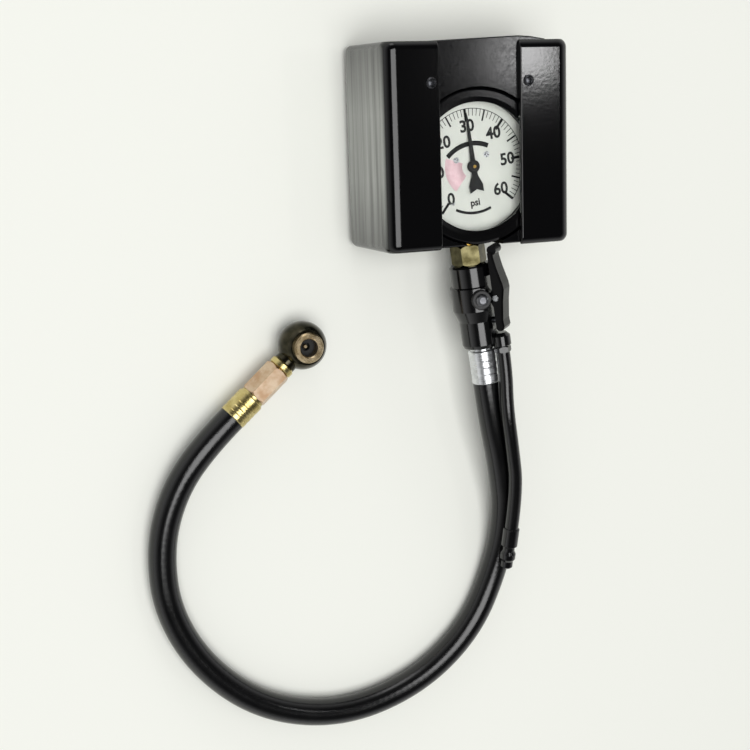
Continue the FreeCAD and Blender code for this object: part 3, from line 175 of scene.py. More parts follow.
class DialSettings(PropertyGroup):
    full_scale: IntProperty(
        name="Full scale", description="Highest pressure on the dial, in psi", default=60
    )
    zero_angle: angle_setting("Zero", "Direction of zero, from the dial's right", 225)
    sweep: angle_setting("Sweep", "Angle from zero to full scale", 270)
    outer: length_setting("Scale radius", "Radius of the marks' outer ends", 0.0252)
    numbers: length_setting("Numbers radius", "Radius of the numbers' middles", 0.0176)
    number_height: length_setting("Number size", "Size of the large numbers", 0.0072)
    ink_depth: length_setting("Ink depth", "Thickness of the printed ink", 0.00006, precision=5)


class StageSettings(PropertyGroup):
    key_power: power_setting("Key lamp", "Power of the large soft lamp overhead", 29.0)
    rear_power: power_setting("Rear lamp", "Power of the low lamp behind", 1.5)
    side_power: power_setting("Side lamp", "Power of the small lamp to the right", 0.3)
    ambient: FloatProperty(
        name="Room light", description="Strength of the even light from all round", default=0.36
    )
    floor_colour: FloatVectorProperty(
        name="Floor", description="Colour of the floor", subtype="COLOR", size=3, default=(0.89, 0.9, 0.84)
    )


# Small helpers
def linear(hex_colour):
    """An sRGB hex colour as linear red, green, blue and 1."""
    parts = [int(hex_colour[i : i + 2], 16) / 255 for i in (1, 3, 5)]
    return (*(p / 12.92 if p <= 0.04045 else ((p + 0.055) / 1.055) ** 2.4 for p in parts), 1.0)


def add_node(tree, kind, inputs=None, **settings):
    """Adds a node. inputs gives each named socket a value, or another node's output to link."""
    node = tree.nodes.new(kind)
    for name, value in settings.items():
        setattr(node, name, value)
    for key, value in (inputs or {}).items():
        if isinstance(value, bpy.types.NodeSocket):
            tree.links.new(value, node.inputs[key])
        else:
            node.inputs[key].default_value = value
    return node


def empty_material(name):
    material = bpy.data.materials.new(name)
    material.use_nodes = True
    material.node_tree.nodes.clear()
    return material, material.node_tree


def place_coordinates(tree, place=None, scale=(1, 1, 1)):
    """Object coordinates in a turned piece's own frame, divided by scale in metres."""
    coordinates = add_node(tree, "ShaderNodeTexCoord")
    place = place or Matrix.Identity(4)
    return add_node(
        tree,
        "ShaderNodeMapping",
        {
            "Vector": coordinates.outputs["Object"],
            "Location": place.translation,
            "Rotation": place.to_euler(),
            "Scale": scale,
        },
        vector_type="TEXTURE",
    ).outputs["Vector"]


def colour_mix(tree, share, first, second):
    """A colour that runs from first to second. Sockets 6 and 7 of the Mix node are its colour pair."""
    return add_node(tree, "ShaderNodeMix", {0: share, 6: first, 7: second}, data_type="RGBA").outputs[2]


def worked_surface(
    name,
    colours,
    roughness,
    grain,
    mottle,
    relief,
    place=None,
    stretch=(1, 1, 1),
    metallic=0.0,
    ior=1.5,
    specular=0.5,
):
    """A surface with a fine grain in its relief and shine, and a slow mottle in its colour.

    colours are two hex colours that the mottle runs between, roughness is its lowest and highest,
    grain and mottle are the sizes of the two patterns in metres, and relief is the grain's height.
    stretch draws the grain out along the piece's axes, as turning and brushing do.
    """
    material, tree = empty_material(name)
    fine = add_node(
        tree,
        "ShaderNodeTexNoise",
        {
            "Vector": place_coordinates(tree, place, [grain * s for s in stretch]),
            "Scale": 1.0,
            "Detail": 4.0,
            "Roughness": 0.6,
        },
    )
    slow = add_node(
        tree,
        "ShaderNodeTexNoise",
        {"Vector": place_coordinates(tree, place, [mottle] * 3), "Scale": 1.0, "Detail": 3.0},
    )
    share = add_node(
        tree, "ShaderNodeMapRange", {"Value": slow.outputs["Fac"], "From Min": 0.35, "From Max": 0.65}
    )
    tint = colour_mix(tree, share.outputs["Result"], linear(colours[0]), linear(colours[1]))
    shine = add_node(
        tree,
        "ShaderNodeMapRange",
        {
            "Value": fine.outputs["Fac"],
            "From Min": 0.3,
            "From Max": 0.7,
            "To Min": roughness[0],
            "To Max": roughness[1],
        },
    )
    bump = add_node(
        tree,
        "ShaderNodeBump",
        {"Height": fine.outputs["Fac"], "Strength": 1.0, "Distance": relief},
    )
    shader = add_node(
        tree,
        "ShaderNodeBsdfPrincipled",
        {
            "Base Color": tint,
            "Roughness": shine.outputs["Result"],
            "Normal": bump.outputs["Normal"],
            "Metallic": metallic,
            "IOR": ior,
            "Specular IOR Level": specular,
        },
    )
    add_node(tree, "ShaderNodeOutputMaterial", {"Surface": shader.outputs["BSDF"]})
    return material


def finish_nodes(material, *names):
    """Gives CAD nodes one material."""
    for name in names:
        mesh = nodes[name].data
        mesh.materials.clear()
        mesh.materials.append(material)


def new_piece(name, mesh, body, material, replaced=()):
    """A finished mesh as a piece that rides on a body, at the origin."""
    mesh.name = name
    mesh.materials.clear()
    mesh.materials.append(material)
    piece = bpy.data.objects.new(name, mesh)
    bpy.context.scene.collection.objects.link(piece)
    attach(piece, body)
    if replaced:
        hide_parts(*replaced)
    return piece


def new_tree(name, sockets):
    """A Geometry Nodes tree with a geometry input and output and the named inputs given."""
    tree = bpy.data.node_groups.new(name, "GeometryNodeTree")
    tree.interface.new_socket("Geometry", in_out="INPUT", socket_type="NodeSocketGeometry")
    tree.interface.new_socket("Geometry", in_out="OUTPUT", socket_type="NodeSocketGeometry")
    for title, kind in sockets:
        tree.interface.new_socket(title, in_out="INPUT", socket_type="NodeSocket" + kind)
    return tree, add_node(tree, "NodeGroupInput").outputs


def end_tree(tree, geometry, material):
    """Ends a tree in Realize Instances and Set Material."""
    real = add_node(tree, "GeometryNodeRealizeInstances", {"Geometry": geometry})
    painted = add_node(tree, "GeometryNodeSetMaterial", {"Geometry": real.outputs[0], "Material": material})
    output = add_node(tree, "NodeGroupOutput")
    tree.links.new(painted.outputs[0], output.inputs["Geometry"])


def grown(tree, values, start=None):
    """The plain mesh that a tree makes from a starting mesh, with its named inputs set."""
    start = start or bpy.data.meshes.new("start")
    carrier = bpy.data.objects.new("carrier", start)
    bpy.context.scene.collection.objects.link(carrier)
    modifier = carrier.modifiers.new("grow", "NODES")
    modifier.node_group = tree
    for item in tree.interface.items_tree:
        if item.in_out == "INPUT" and item.name in values:
            modifier[item.identifier] = values[item.name]
    bpy.context.view_layer.update()
    mesh = bpy.data.meshes.new_from_object(carrier.evaluated_get(bpy.context.evaluated_depsgraph_get()))
    carrier.modifiers.remove(modifier)
    bpy.data.objects.remove(carrier)
    if len(mesh.polygons) == 0:
        raise RuntimeError(tree.name + " made nothing")
    return mesh


def joined(meshes, place):
    """Several meshes as one, put in place, with their faces turned outwards."""
    whole = bmesh.new()
    for mesh in meshes:
        whole.from_mesh(mesh)
    bmesh.ops.transform(whole, matrix=place, verts=whole.verts)
    bmesh.ops.remove_doubles(whole, verts=whole.verts, dist=1e-8)
    bmesh.ops.recalc_face_normals(whole, faces=whole.faces)
    result = bpy.data.meshes.new("joined")
    whole.to_mesh(result)
    whole.free()
    return result


# Geometry Nodes trees
def hose_tree(material):
    """A round hose along a line of points. The attribute along holds the distance from its start."""
    tree, given = new_tree("hose_along_route", [("Radius", "Float"), ("Sides", "Int")])
    curve = add_node(tree, "GeometryNodeMeshToCurve", {"Mesh": given["Geometry"]})
    along = add_node(tree, "GeometryNodeSplineParameter")
    with_length = add_node(
        tree,
        "GeometryNodeStoreNamedAttribute",
        {"Geometry": curve.outputs[0], "Name": "along", "Value": along.outputs["Length"]},
        data_type="FLOAT",
        domain="POINT",
    )
    circle = add_node(
        tree,
        "GeometryNodeCurvePrimitiveCircle",
        {"Resolution": given["Sides"], "Radius": given["Radius"]},
    )
    tube = add_node(
        tree,
        "GeometryNodeCurveToMesh",
        {"Curve": with_length.outputs[0], "Profile Curve": circle.outputs[0], "Fill Caps": True},
    )
    smooth = add_node(
        tree, "GeometryNodeSetShadeSmooth", {"Geometry": tube.outputs[0], "Shade Smooth": True}
    )
    end_tree(tree, smooth.outputs[0], material)
    return tree


def marks_tree(material):
    """Bars of ink set round an arc at equal steps, each pointing at the dial's centre."""
    tree, given = new_tree(
        "marks_round_arc",
        [
            ("Count", "Int"),
            ("First Angle", "Float"),
            ("Step Angle", "Float"),
            ("Outer Radius", "Float"),
            ("Length", "Float"),
            ("Width", "Float"),
            ("Depth", "Float"),
        ],
    )
    line = add_node(tree, "GeometryNodeMeshLine", {"Count": given["Count"], "Offset": (0, 0, 0)})
    index = add_node(tree, "GeometryNodeInputIndex")
    step = add_node(
        tree, "ShaderNodeMath", {0: index.outputs[0], 1: given["Step Angle"]}, operation="MULTIPLY"
    )
    angle = add_node(
        tree, "ShaderNodeMath", {0: given["First Angle"], 1: step.outputs[0]}, operation="SUBTRACT"
    )
    half = add_node(tree, "ShaderNodeMath", {0: given["Length"], 1: 0.5}, operation="MULTIPLY")
    radius = add_node(
        tree, "ShaderNodeMath", {0: given["Outer Radius"], 1: half.outputs[0]}, operation="SUBTRACT"
    )
    across = add_node(tree, "ShaderNodeMath", {0: angle.outputs[0]}, operation="COSINE")
    up = add_node(tree, "ShaderNodeMath", {0: angle.outputs[0]}, operation="SINE")
    x = add_node(tree, "ShaderNodeMath", {0: across.outputs[0], 1: radius.outputs[0]}, operation="MULTIPLY")
    y = add_node(tree, "ShaderNodeMath", {0: up.outputs[0], 1: radius.outputs[0]}, operation="MULTIPLY")
    place = add_node(tree, "ShaderNodeCombineXYZ", {"X": x.outputs[0], "Y": y.outputs[0]})
    points = add_node(
        tree, "GeometryNodeSetPosition", {"Geometry": line.outputs[0], "Position": place.outputs[0]}
    )
    size = add_node(
        tree, "ShaderNodeCombineXYZ", {"X": given["Length"], "Y": given["Width"], "Z": given["Depth"]}
    )
    bar = add_node(tree, "GeometryNodeMeshCube", {"Size": size.outputs[0]})
    turn = add_node(tree, "ShaderNodeCombineXYZ", {"Z": angle.outputs[0]})
    bars = add_node(
        tree,
        "GeometryNodeInstanceOnPoints",
        {"Points": points.outputs[0], "Instance": bar.outputs["Mesh"], "Rotation": turn.outputs[0]},
    )
    end_tree(tree, bars.outputs[0], material)
    return tree


def band_tree(material):
    """A flat band of ink that follows an arc."""
    tree, given = new_tree(
        "band_along_arc",
        [
            ("Radius", "Float"),
            ("First Angle", "Float"),
            ("Sweep", "Float"),
            ("Width", "Float"),
            ("Depth", "Float"),
        ],
    )
    arc = add_node(
        tree,
        "GeometryNodeCurveArc",
        {
            "Resolution": 64,
            "Radius": given["Radius"],
            "Start Angle": given["First Angle"],
            "Sweep Angle": given["Sweep"],
        },
        mode="RADIUS",
    )
    strip = add_node(
        tree, "GeometryNodeCurvePrimitiveQuadrilateral", {"Width": given["Width"], "Height": given["Depth"]}
    )
    band = add_node(
        tree,
        "GeometryNodeCurveToMesh",
        {"Curve": arc.outputs[0], "Profile Curve": strip.outputs[0], "Fill Caps": True},
    )
    end_tree(tree, band.outputs[0], material)
    return tree


# Materials, each for one real finish
def hose_rubber():
    """Extruded synthetic rubber, cured under a wrapped tape: black, shiny, with faint cross marks."""
    settings = bpy.context.scene.inflator_hose
    material, tree = empty_material("extruded_rubber")
    # rubber's skin has a grain of about 0.2 mm, drawn at 0.6 mm so that it shows
    grain = add_node(
        tree,
        "ShaderNodeTexNoise",
        {"Vector": place_coordinates(tree, None, [0.6 * MM] * 3), "Scale": 1.0, "Detail": 3.0},
    )
    slow = add_node(
        tree,
        "ShaderNodeTexNoise",
        {"Vector": place_coordinates(tree, None, [14 * MM] * 3), "Scale": 1.0, "Detail": 2.0},
    )
    along = add_node(tree, "ShaderNodeAttribute", attribute_name="along")
    turns = add_node(
        tree,
        "ShaderNodeMath",
        {0: along.outputs["Fac"], 1: 2 * math.pi / settings.wrap_pitch},
        operation="MULTIPLY",
    )
    # the slow pattern shifts the tape's marks to and fro by a turn or so, so that they wander
    wander = add_node(
        tree,
        "ShaderNodeMath",
        {0: slow.outputs["Fac"], 1: 9.0, 2: turns.outputs[0]},
        operation="MULTIPLY_ADD",
    )
    wrap = add_node(tree, "ShaderNodeMath", {0: wander.outputs[0]}, operation="SINE")
    height = add_node(
        tree,
        "ShaderNodeMath",
        {0: wrap.outputs[0], 1: 0.16, 2: grain.outputs["Fac"]},
        operation="MULTIPLY_ADD",
    )
    bump = add_node(
        tree, "ShaderNodeBump", {"Height": height.outputs[0], "Strength": 1.0, "Distance": 0.035 * MM}
    )
    shine = add_node(
        tree,
        "ShaderNodeMapRange",
        {"Value": slow.outputs["Fac"], "From Min": 0.3, "From Max": 0.7, "To Min": 0.17, "To Max": 0.23},
    )
    tint = add_node(tree, "ShaderNodeValToRGB", {"Fac": slow.outputs["Fac"]})
    tint.color_ramp.elements[0].color = linear("#020203")
    tint.color_ramp.elements[1].color = linear("#060607")
    shader = add_node(
        tree,
        "ShaderNodeBsdfPrincipled",
        {
            "Base Color": tint.outputs["Color"],
            "Roughness": shine.outputs["Result"],
            "Normal": bump.outputs["Normal"],
            "IOR": 1.52,
            "Specular IOR Level": 0.5,
        },
    )
    add_node(tree, "ShaderNodeOutputMaterial", {"Surface": shader.outputs["BSDF"]})
    return material


def gloss_powder_coat():
    """Gloss black powder coat baked on sheet steel: deep black, with the slight orange peel of the powder.

    Its two side faces carry pale streaks along the guard, a painted reflection of the floor beside it.
    """
    material, tree = empty_material("gloss_powder_coat")
    # orange peel is about 1.6 mm from hump to hump
    peel = add_node(
        tree,
        "ShaderNodeTexNoise",
        {"Vector": place_coordinates(tree, None, [1.6 * MM] * 3), "Scale": 1.0, "Detail": 2.0},
    )
    bump = add_node(
        tree, "ShaderNodeBump", {"Height": peel.outputs["Fac"], "Strength": 1.0, "Distance": 0.012 * MM}
    )
    # the streaks are 3.5 mm wide and run the guard's whole length
    streaks = add_node(
        tree,
        "ShaderNodeTexNoise",
        {
            "Vector": place_coordinates(tree, None, (5 * MM, 110 * MM, 3.5 * MM)),
            "Scale": 1.0,
            "Detail": 2.0,
        },
    )
    streak = add_node(
        tree, "ShaderNodeMapRange", {"Value": streaks.outputs["Fac"], "From Min": 0.15, "From Max": 0.6}
    )
    # they are on the side faces only, and fade from the middle of the guard to its ends
    coordinates = add_node(tree, "ShaderNodeTexCoord")
    place = add_node(tree, "ShaderNodeSeparateXYZ", {"Vector": coordinates.outputs["Object"]})
    out = add_node(tree, "ShaderNodeMath", {0: place.outputs["X"]}, operation="ABSOLUTE")
    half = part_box("guard_shell")[1].x
    side = add_node(
        tree,
        "ShaderNodeMapRange",
        {"Value": out.outputs[0], "From Min": half - 0.9 * MM, "From Max": half - 0.1 * MM},
    )
    up = add_node(tree, "ShaderNodeMath", {0: place.outputs["Y"]}, operation="ABSOLUTE")
    away = add_node(
        tree,
        "ShaderNodeMapRange",
        {"Value": up.outputs[0], "From Min": 45 * MM, "From Max": 14 * MM, "To Min": 0.3},
    )
    on_side = add_node(
        tree,
        "ShaderNodeMath",
        {0: streak.outputs["Result"], 1: side.outputs["Result"]},
        operation="MULTIPLY",
    )
    # painted reflection: in the streaks the sides take a pale colour and a higher specular level, standing
    # in for the floor they mirror
    painted_reflection = add_node(
        tree, "ShaderNodeMath", {0: on_side.outputs[0], 1: away.outputs["Result"]}, operation="MULTIPLY"
    )
    shine = add_node(tree, "ShaderNodeMapRange", {"Value": painted_reflection.outputs[0], "To Min": 0.1, "To Max": 0.22})
    streak_specular = add_node(tree, "ShaderNodeMapRange", {"Value": painted_reflection.outputs[0], "To Min": 0.42, "To Max": 1.0})
    shader = add_node(
        tree,
        "ShaderNodeBsdfPrincipled",
        {
            "Base Color": colour_mix(tree, painted_reflection.outputs[0], linear("#020203"), linear("#9a9c98")),
            "Roughness": shine.outputs["Result"],
            "Normal": bump.outputs["Normal"],
            "Specular IOR Level": streak_specular.outputs["Result"],
        },
    )
    add_node(tree, "ShaderNodeOutputMaterial", {"Surface": shader.outputs["BSDF"]})
    return material


def moulded_nylon():
    """Glass-filled nylon from a polished mould: black and fairly shiny, with a faint flow in its shine."""
    return worked_surface(
        "moulded_nylon",
        ("#030304", "#070708"),
        (0.1, 0.18),
        1.1 * MM,
        12 * MM,
        0.008 * MM,
        ior=1.53,
        specular=0.3,
    )


def moulded_abs():
    """Polished black ABS of a snap-on ring: even gloss."""
    return worked_surface(
        "moulded_abs",
        ("#030304", "#050506"),
        (0.1, 0.16),
        0.9 * MM,
        9 * MM,
        0.005 * MM,
        ior=1.54,
        specular=0.35,
    )


def anodised_black(name="anodised_black", roughness=(0.1, 0.16)):
    """Turned aluminium, bright-dipped and anodised black: glossy, with the lathe's rings just showing."""
    return worked_surface(
        name,
        ("#030304", "#070708"),
        roughness,
        0.5 * MM,
        8 * MM,
        0.006 * MM,
        place=valve_frame,
        stretch=(12, 12, 1),
        ior=1.6,
        specular=0.45,
    )


def lever_black():
    """Pressed steel with a black oxide and oil finish: smooth and a little softer than the body."""
    return worked_surface(
        "oiled_black_steel",
        ("#040405", "#080809"),
        (0.14, 0.24),
        0.8 * MM,
        6 * MM,
        0.006 * MM,
        ior=1.6,
        specular=0.12,
    )


def turned_metal(name, colours, roughness, place, relief=0.005):
    """Bar stock turned on a lathe: fine rings round the axis catch the light in short streaks."""
    return worked_surface(
        name,
        colours,
        roughness,
        0.45 * MM,
        4 * MM,
        relief * MM,
        place=place,
        stretch=(14, 14, 1),
        metallic=1.0,
    )


def plain_steel():
    """Zinc-plated steel of screws, pins and springs: pale grey and bright."""
    return worked_surface(
        "zinc_plated_steel", ("#b4b6b8", "#c9cbcd"), (0.2, 0.34), 0.7 * MM, 4 * MM, 0.004 * MM, metallic=1.0
    )


def black_steel():
    """Black zinc plate on steel: dark metal with a small bright glint."""
    return worked_surface(
        "black_zinc_plate", ("#3c3d40", "#58595c"), (0.2, 0.32), 0.7 * MM, 4 * MM, 0.004 * MM, metallic=1.0
    )


def case_steel():
    """Drawn stainless steel of the gauge's case: satin, with long faint draw lines."""
    return worked_surface(
        "drawn_stainless",
        ("#9fa1a3", "#b1b3b5"),
        (0.28, 0.4),
        0.5 * MM,
        10 * MM,
        0.004 * MM,
        place=gauge_frame,
        stretch=(1, 1, 20),
        metallic=1.0,
    )


def spring_bronze():
    """Drawn phosphor bronze of the pressure tube and the hairspring: satin and reddish."""
    return worked_surface(
        "phosphor_bronze",
        ("#a5763f", "#b78750"),
        (0.22, 0.34),
        0.6 * MM,
        5 * MM,
        0.004 * MM,
        metallic=1.0,
    )


def seal_rubber():
    """Moulded nitrile rubber of washers and rings: matt black."""
    return worked_surface(
        "nitrile_rubber", ("#0c0c0c", "#141414"), (0.55, 0.7), 0.5 * MM, 5 * MM, 0.01 * MM, ior=1.52
    )


def dial_enamel():
    """Aluminium sheet with a white baked enamel: even and nearly matt."""
    return worked_surface(
        "white_enamel",
        ("#c4c6be", "#cccdc5"),
        (0.42, 0.52),
        0.8 * MM,
        11 * MM,
        0.004 * MM,
        ior=1.48,
        specular=0.35,
    )


def printed_ink(name, colours):
    """Screen-printed ink: matt, a little uneven where the mesh laid it down."""
    return worked_surface(name, colours, (0.5, 0.65), 0.25 * MM, 1.8 * MM, 0.004 * MM, specular=0.3)


def lens_acrylic():
    """Cast acrylic: clear and polished, and lamps shine through it on to the dial."""
    material, tree = empty_material("clear_acrylic")
    haze = add_node(
        tree,
        "ShaderNodeTexNoise",
        {"Vector": place_coordinates(tree, gauge_frame, [6 * MM] * 3), "Scale": 1.0, "Detail": 2.0},
    )
    bump = add_node(
        tree, "ShaderNodeBump", {"Height": haze.outputs["Fac"], "Strength": 1.0, "Distance": 0.002 * MM}
    )
    glass = add_node(
        tree,
        "ShaderNodeBsdfPrincipled",
        {
            "Base Color": linear("#fbfcfc"),
            "Roughness": 0.0,
            "IOR": 1.49,
            "Transmission Weight": 1.0,
            "Normal": bump.outputs["Normal"],
        },
    )
    clear = add_node(tree, "ShaderNodeBsdfTransparent", {"Color": linear("#fafbfb")})
    rays = add_node(tree, "ShaderNodeLightPath")
    mixed = add_node(
        tree,
        "ShaderNodeMixShader",
        {0: rays.outputs["Is Shadow Ray"], 1: glass.outputs["BSDF"], 2: clear.outputs["BSDF"]},
    )
    add_node(tree, "ShaderNodeOutputMaterial", {"Surface": mixed.outputs["Shader"]})
    return material


# Pieces and finishes
class INFLATOR_OT_camera(Operator):
    """Sets up the camera at the photograph's place"""

    bl_idname = "inflator.camera"
    bl_label = "Camera"

    def execute(self, context):
        data = bpy.data.cameras.new("camera")
        data.sensor_width = SENSOR_MM
        data.lens = LENS_MM
        data.clip_start = 0.01
        data.clip_end = 20
        camera = bpy.data.objects.new("camera", data)
        right = Vector(CAMERA_RIGHT).normalized()
        back = Vector(CAMERA_BACK)
        back = (back - right * back.dot(right)).normalized()
        up = back.cross(right)
        turn = Matrix((right, up, back)).transposed().to_4x4()
        camera.matrix_world = Matrix.Translation(CAMERA_PLACE) @ turn
        context.scene.collection.objects.link(camera)
        context.scene.camera = camera
        return {"FINISHED"}


def route_line(name, route):
    """The smooth line through a route, as a mesh of points in order."""
    data = bpy.data.curves.new(name + "_line", "CURVE")
    data.dimensions = "3D"
    data.resolution_u = 16
    spline = data.splines.new("NURBS")
    spline.points.add(len(route) - 1)
    for point, place in zip(spline.points, route):
        point.co = (*place, 1)
    spline.order_u = 3
    spline.use_endpoint_u = True
    carrier = bpy.data.objects.new(name + "_line", data)
    bpy.context.scene.collection.objects.link(carrier)
    bpy.context.view_layer.update()
    line = bpy.data.meshes.new_from_object(carrier.evaluated_get(bpy.context.evaluated_depsgraph_get()))
    bpy.data.objects.remove(carrier)
    return line


class INFLATOR_OT_hoses(Operator):
    """Makes the main hose and the air whip"""

    bl_idname = "inflator.hoses"
    bl_label = "Hoses"

    def execute(self, context):
        settings = context.scene.inflator_hose
        rubber = hose_rubber()
        tree = hose_tree(rubber)
        main_hose = (HOSE_ROUTE, settings.diameter, settings.length, "fitting", CHUCK_NODES)
        air_whip = (WHIP_ROUTE, settings.whip_diameter, settings.whip_length, "plug", PLUG_NODES)
        hoses = (
            ("rubber_hose", "main_hose", main_hose),
            ("air_whip_hose", "inlet_whip", air_whip),
        )
        for name, node, (route, diameter, length, far_end, end_nodes) in hoses:
            line = route_line(name, route)
            tube = grown(tree, {"Radius": diameter / 2, "Sides": settings.sides}, line)
            piece = new_piece(name, tube, "tool", rubber, (node,))
        return {"FINISHED"}


class INFLATOR_OT_guard(Operator):
    """Finishes the steel guard and the cradle inside; its screws are finished with the movement's steel
    parts
    """

    bl_idname = "inflator.guard"
    bl_label = "Guard and cradle"

    def execute(self, context):
        finish_nodes(gloss_powder_coat(), "guard_shell")
        finish_nodes(moulded_nylon(), "gauge_cradle")
        return {"FINISHED"}


class INFLATOR_OT_gauge(Operator):
    """Finishes the gauge's case, bezel, lens and gasket"""

    bl_idname = "inflator.gauge"
    bl_label = "Gauge case and lens"

    def execute(self, context):
        finish_nodes(case_steel(), "gauge_case")
        finish_nodes(moulded_abs(), "gauge_bezel")
        finish_nodes(lens_acrylic(), "lens")
        finish_nodes(
            seal_rubber(), "lens_gasket", "spool_orings", "bleed_seal", "chuck_seal", "poppet_seal"
        )
        return {"FINISHED"}


class INFLATOR_OT_dial(Operator):
    """Prints the dial and finishes its plate and pointer"""

    bl_idname = "inflator.dial"
    bl_label = "Dial and pointer"

    def execute(self, context):
        settings = context.scene.inflator_dial
        depth = settings.ink_depth
        black = printed_ink("black_dial_ink", ("#0b0b0b", "#171717"))
        red = printed_ink("red_dial_ink", ("#dab6bb", "#e2c4c8"))
        finish_nodes(dial_enamel(), "dial_plate")
        finish_nodes(printed_ink("pointer_paint", ("#080808", "#101010")), "pointer")
        face = gauge_frame @ Matrix.Translation((0, 0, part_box("dial_plate")[1].z + depth / 2))
        marks = marks_tree(black)
        printed = []
        for pressure, length, width in MARKS:
            count = settings.full_scale // pressure
            printed.append(grown(marks, {
                "Count": count + 1,
                "First Angle": settings.zero_angle,
                "Step Angle": settings.sweep / count,
                "Outer Radius": settings.outer,
                "Length": length * MM,
                "Width": width * MM,
                "Depth": depth,
            }))
        band = band_tree(black)
        scale_line = (
            settings.outer, settings.zero_angle - settings.sweep, settings.sweep, SCALE_LINE_WIDTH, 0
        )
        short_bands = [
            (radius, math.radians(first), math.radians(sweep), width, rise)
            for radius, first, sweep, width, rise in BANDS
        ]
        for radius, first, sweep, width, rise in (scale_line, *short_bands):
            strip = grown(band, {
                "Radius": radius, "First Angle": first, "Sweep": sweep, "Width": width, "Depth": depth,
            })
            strip.transform(Matrix.Translation((0, rise, 0)))
            printed.append(strip)
        for value in range(0, settings.full_scale + 1, NUMBER_STEP):
            angle = settings.zero_angle - settings.sweep * value / settings.full_scale
            place = (settings.numbers * math.cos(angle), settings.numbers * math.sin(angle))
            printed.append(lettering(str(value), settings.number_height, place, depth))
        printed.append(lettering("psi", UNIT_HEIGHT, UNIT_PLACE, depth))
        new_piece("dial_black_print", joined(printed, face), "tool", black)
        radius, first, sweep, width = RED_ZONE
        zone = grown(band_tree(red), {
            "Radius": radius,
            "First Angle": math.radians(first),
            "Sweep": math.radians(sweep),
            "Width": width,
            "Depth": depth * 0.8,
        })
        new_piece("dial_red_zone", joined([zone], face), "tool", red)
        return {"FINISHED"}


def lettering(text, size, place, depth):
    """Numbers or a unit, printed upright about a place on the dial."""
    data = bpy.data.curves.new("lettering", "FONT")
    data.body = text
    data.size = size
    data.align_x = "CENTER"
    data.align_y = "CENTER"
    data.extrude = depth / 2
    data.offset = size * 0.03  # thickens the strokes, as the print is bold
    data.resolution_u = 4
    carrier = bpy.data.objects.new("lettering", data)
    bpy.context.scene.collection.objects.link(carrier)
    bpy.context.view_layer.update()
    mesh = bpy.data.meshes.new_from_object(carrier.evaluated_get(bpy.context.evaluated_depsgraph_get()))
    bpy.data.objects.remove(carrier)
    mesh.transform(Matrix.Translation((*place, 0)))
    return mesh


class INFLATOR_OT_movement(Operator):
    """Finishes the movement, the pressure tube and the small steel parts"""

    bl_idname = "inflator.movement"
    bl_label = "Movement and steel parts"

    def execute(self, context):
        brass = turned_metal("stamped_brass", ("#c19a45", "#d0ab58"), (0.24, 0.36), gauge_frame)
        finish_nodes(
            brass,
            "gauge_socket", "pointer_arbor", "sector_gear", "tip_link",
            "movement_back_plate", "movement_front_plate", "movement_pillars",
        )
        finish_nodes(spring_bronze(), "bourdon_tube", "bourdon_tip", "hairspring")
        finish_nodes(
            plain_steel(),
            "socket_screws", "dial_screws", "zero_stop_pin", "sector_shaft", "movement_screws",
            "lever_pin", "spool_spring", "hose_insert", "bleed_spring", "poppet_spring",
        )
        finish_nodes(black_steel(), "guard_screws", "valve_spool", "spool_retainer")
        return {"FINISHED"}


class INFLATOR_OT_valve(Operator):
    """Finishes the valve body, lever, bleed button and air inlet"""

    bl_idname = "inflator.valve"
    bl_label = "Valve"

    def execute(self, context):
        finish_nodes(anodised_black(), "valve_body", "inlet_fitting", "inlet_plug")
        # the seat's ring is bead-blasted before it is anodised, so it only glows where the lamp meets it
        finish_nodes(anodised_black("blasted_anodised_black", (0.42, 0.52)), "bleed_seat")
        finish_nodes(lever_black(), "valve_lever")
        button = turned_metal("brushed_aluminium", ("#66676a", "#7b7c7f"), (0.3, 0.42), valve_frame)
        finish_nodes(button, "bleed_button")
        return {"FINISHED"}


class INFLATOR_OT_fittings(Operator):
    """Finishes the brass hex, the hose ferrules and the chuck's connector"""

    bl_idname = "inflator.fittings"
    bl_label = "Fittings"

    def execute(self, context):
        # painted shade: the hex's brass is darkened to olive for the shade of the guard that hangs over it
        nipple = turned_metal("shade_darkened_brass", ("#35311e", "#57523a"), (0.16, 0.28), valve_frame)
        finish_nodes(nipple, "stem_hex_nipple")
        zinc = turned_metal("zinc_plate", ("#c9cbcd", "#e2e4e6"), (0.24, 0.36), valve_frame, relief=0.002)
        finish_nodes(zinc, "hose_ferrule")
        copper = turned_metal("coppery_brass", ("#bc9b7c", "#d4bfa5"), (0.3, 0.42), connector_frame)
        finish_nodes(copper, "chuck_connector")
        yellow = turned_metal("yellow_brass", ("#b5a468", "#d2c389"), (0.2, 0.32), connector_frame)
        finish_nodes(yellow, "chuck_ferrule", "chuck_insert", "chuck_collar")
        return {"FINISHED"}


class INFLATOR_OT_chuck(Operator):
    """Finishes the ball of the chuck, its mouth ring and the pin in it"""

    bl_idname = "inflator.chuck"
    bl_label = "Ball chuck"

    def execute(self, context):
        # black nickel over brass: nearly black with a green cast
        ball = turned_metal("black_nickel", ("#2b2a21", "#454135"), (0.12, 0.2), chuck_frame, relief=0.002)
        finish_nodes(ball, "chuck_body")
        # the mouth's plating is worn to tan metal by valve stems
        ring = turned_metal("worn_plated_brass", ("#8f7d5c", "#c9b797"), (0.2, 0.34), chuck_frame)
        finish_nodes(ring, "chuck_mouth_ring", "chuck_poppet")
        return {"FINISHED"}


def area_lamp(name, place, target, side, power):
    """A square soft lamp at a place, turned to a target."""
    data = bpy.data.lights.new(name, "AREA")
    data.shape = "RECTANGLE"
    data.size = side
    data.size_y = side
    data.energy = power
    lamp = bpy.data.objects.new(name, data)
    lamp.location = place
    lamp.rotation_euler = (Vector(target) - Vector(place)).to_track_quat("-Z", "Y").to_euler()
    bpy.context.scene.collection.objects.link(lamp)


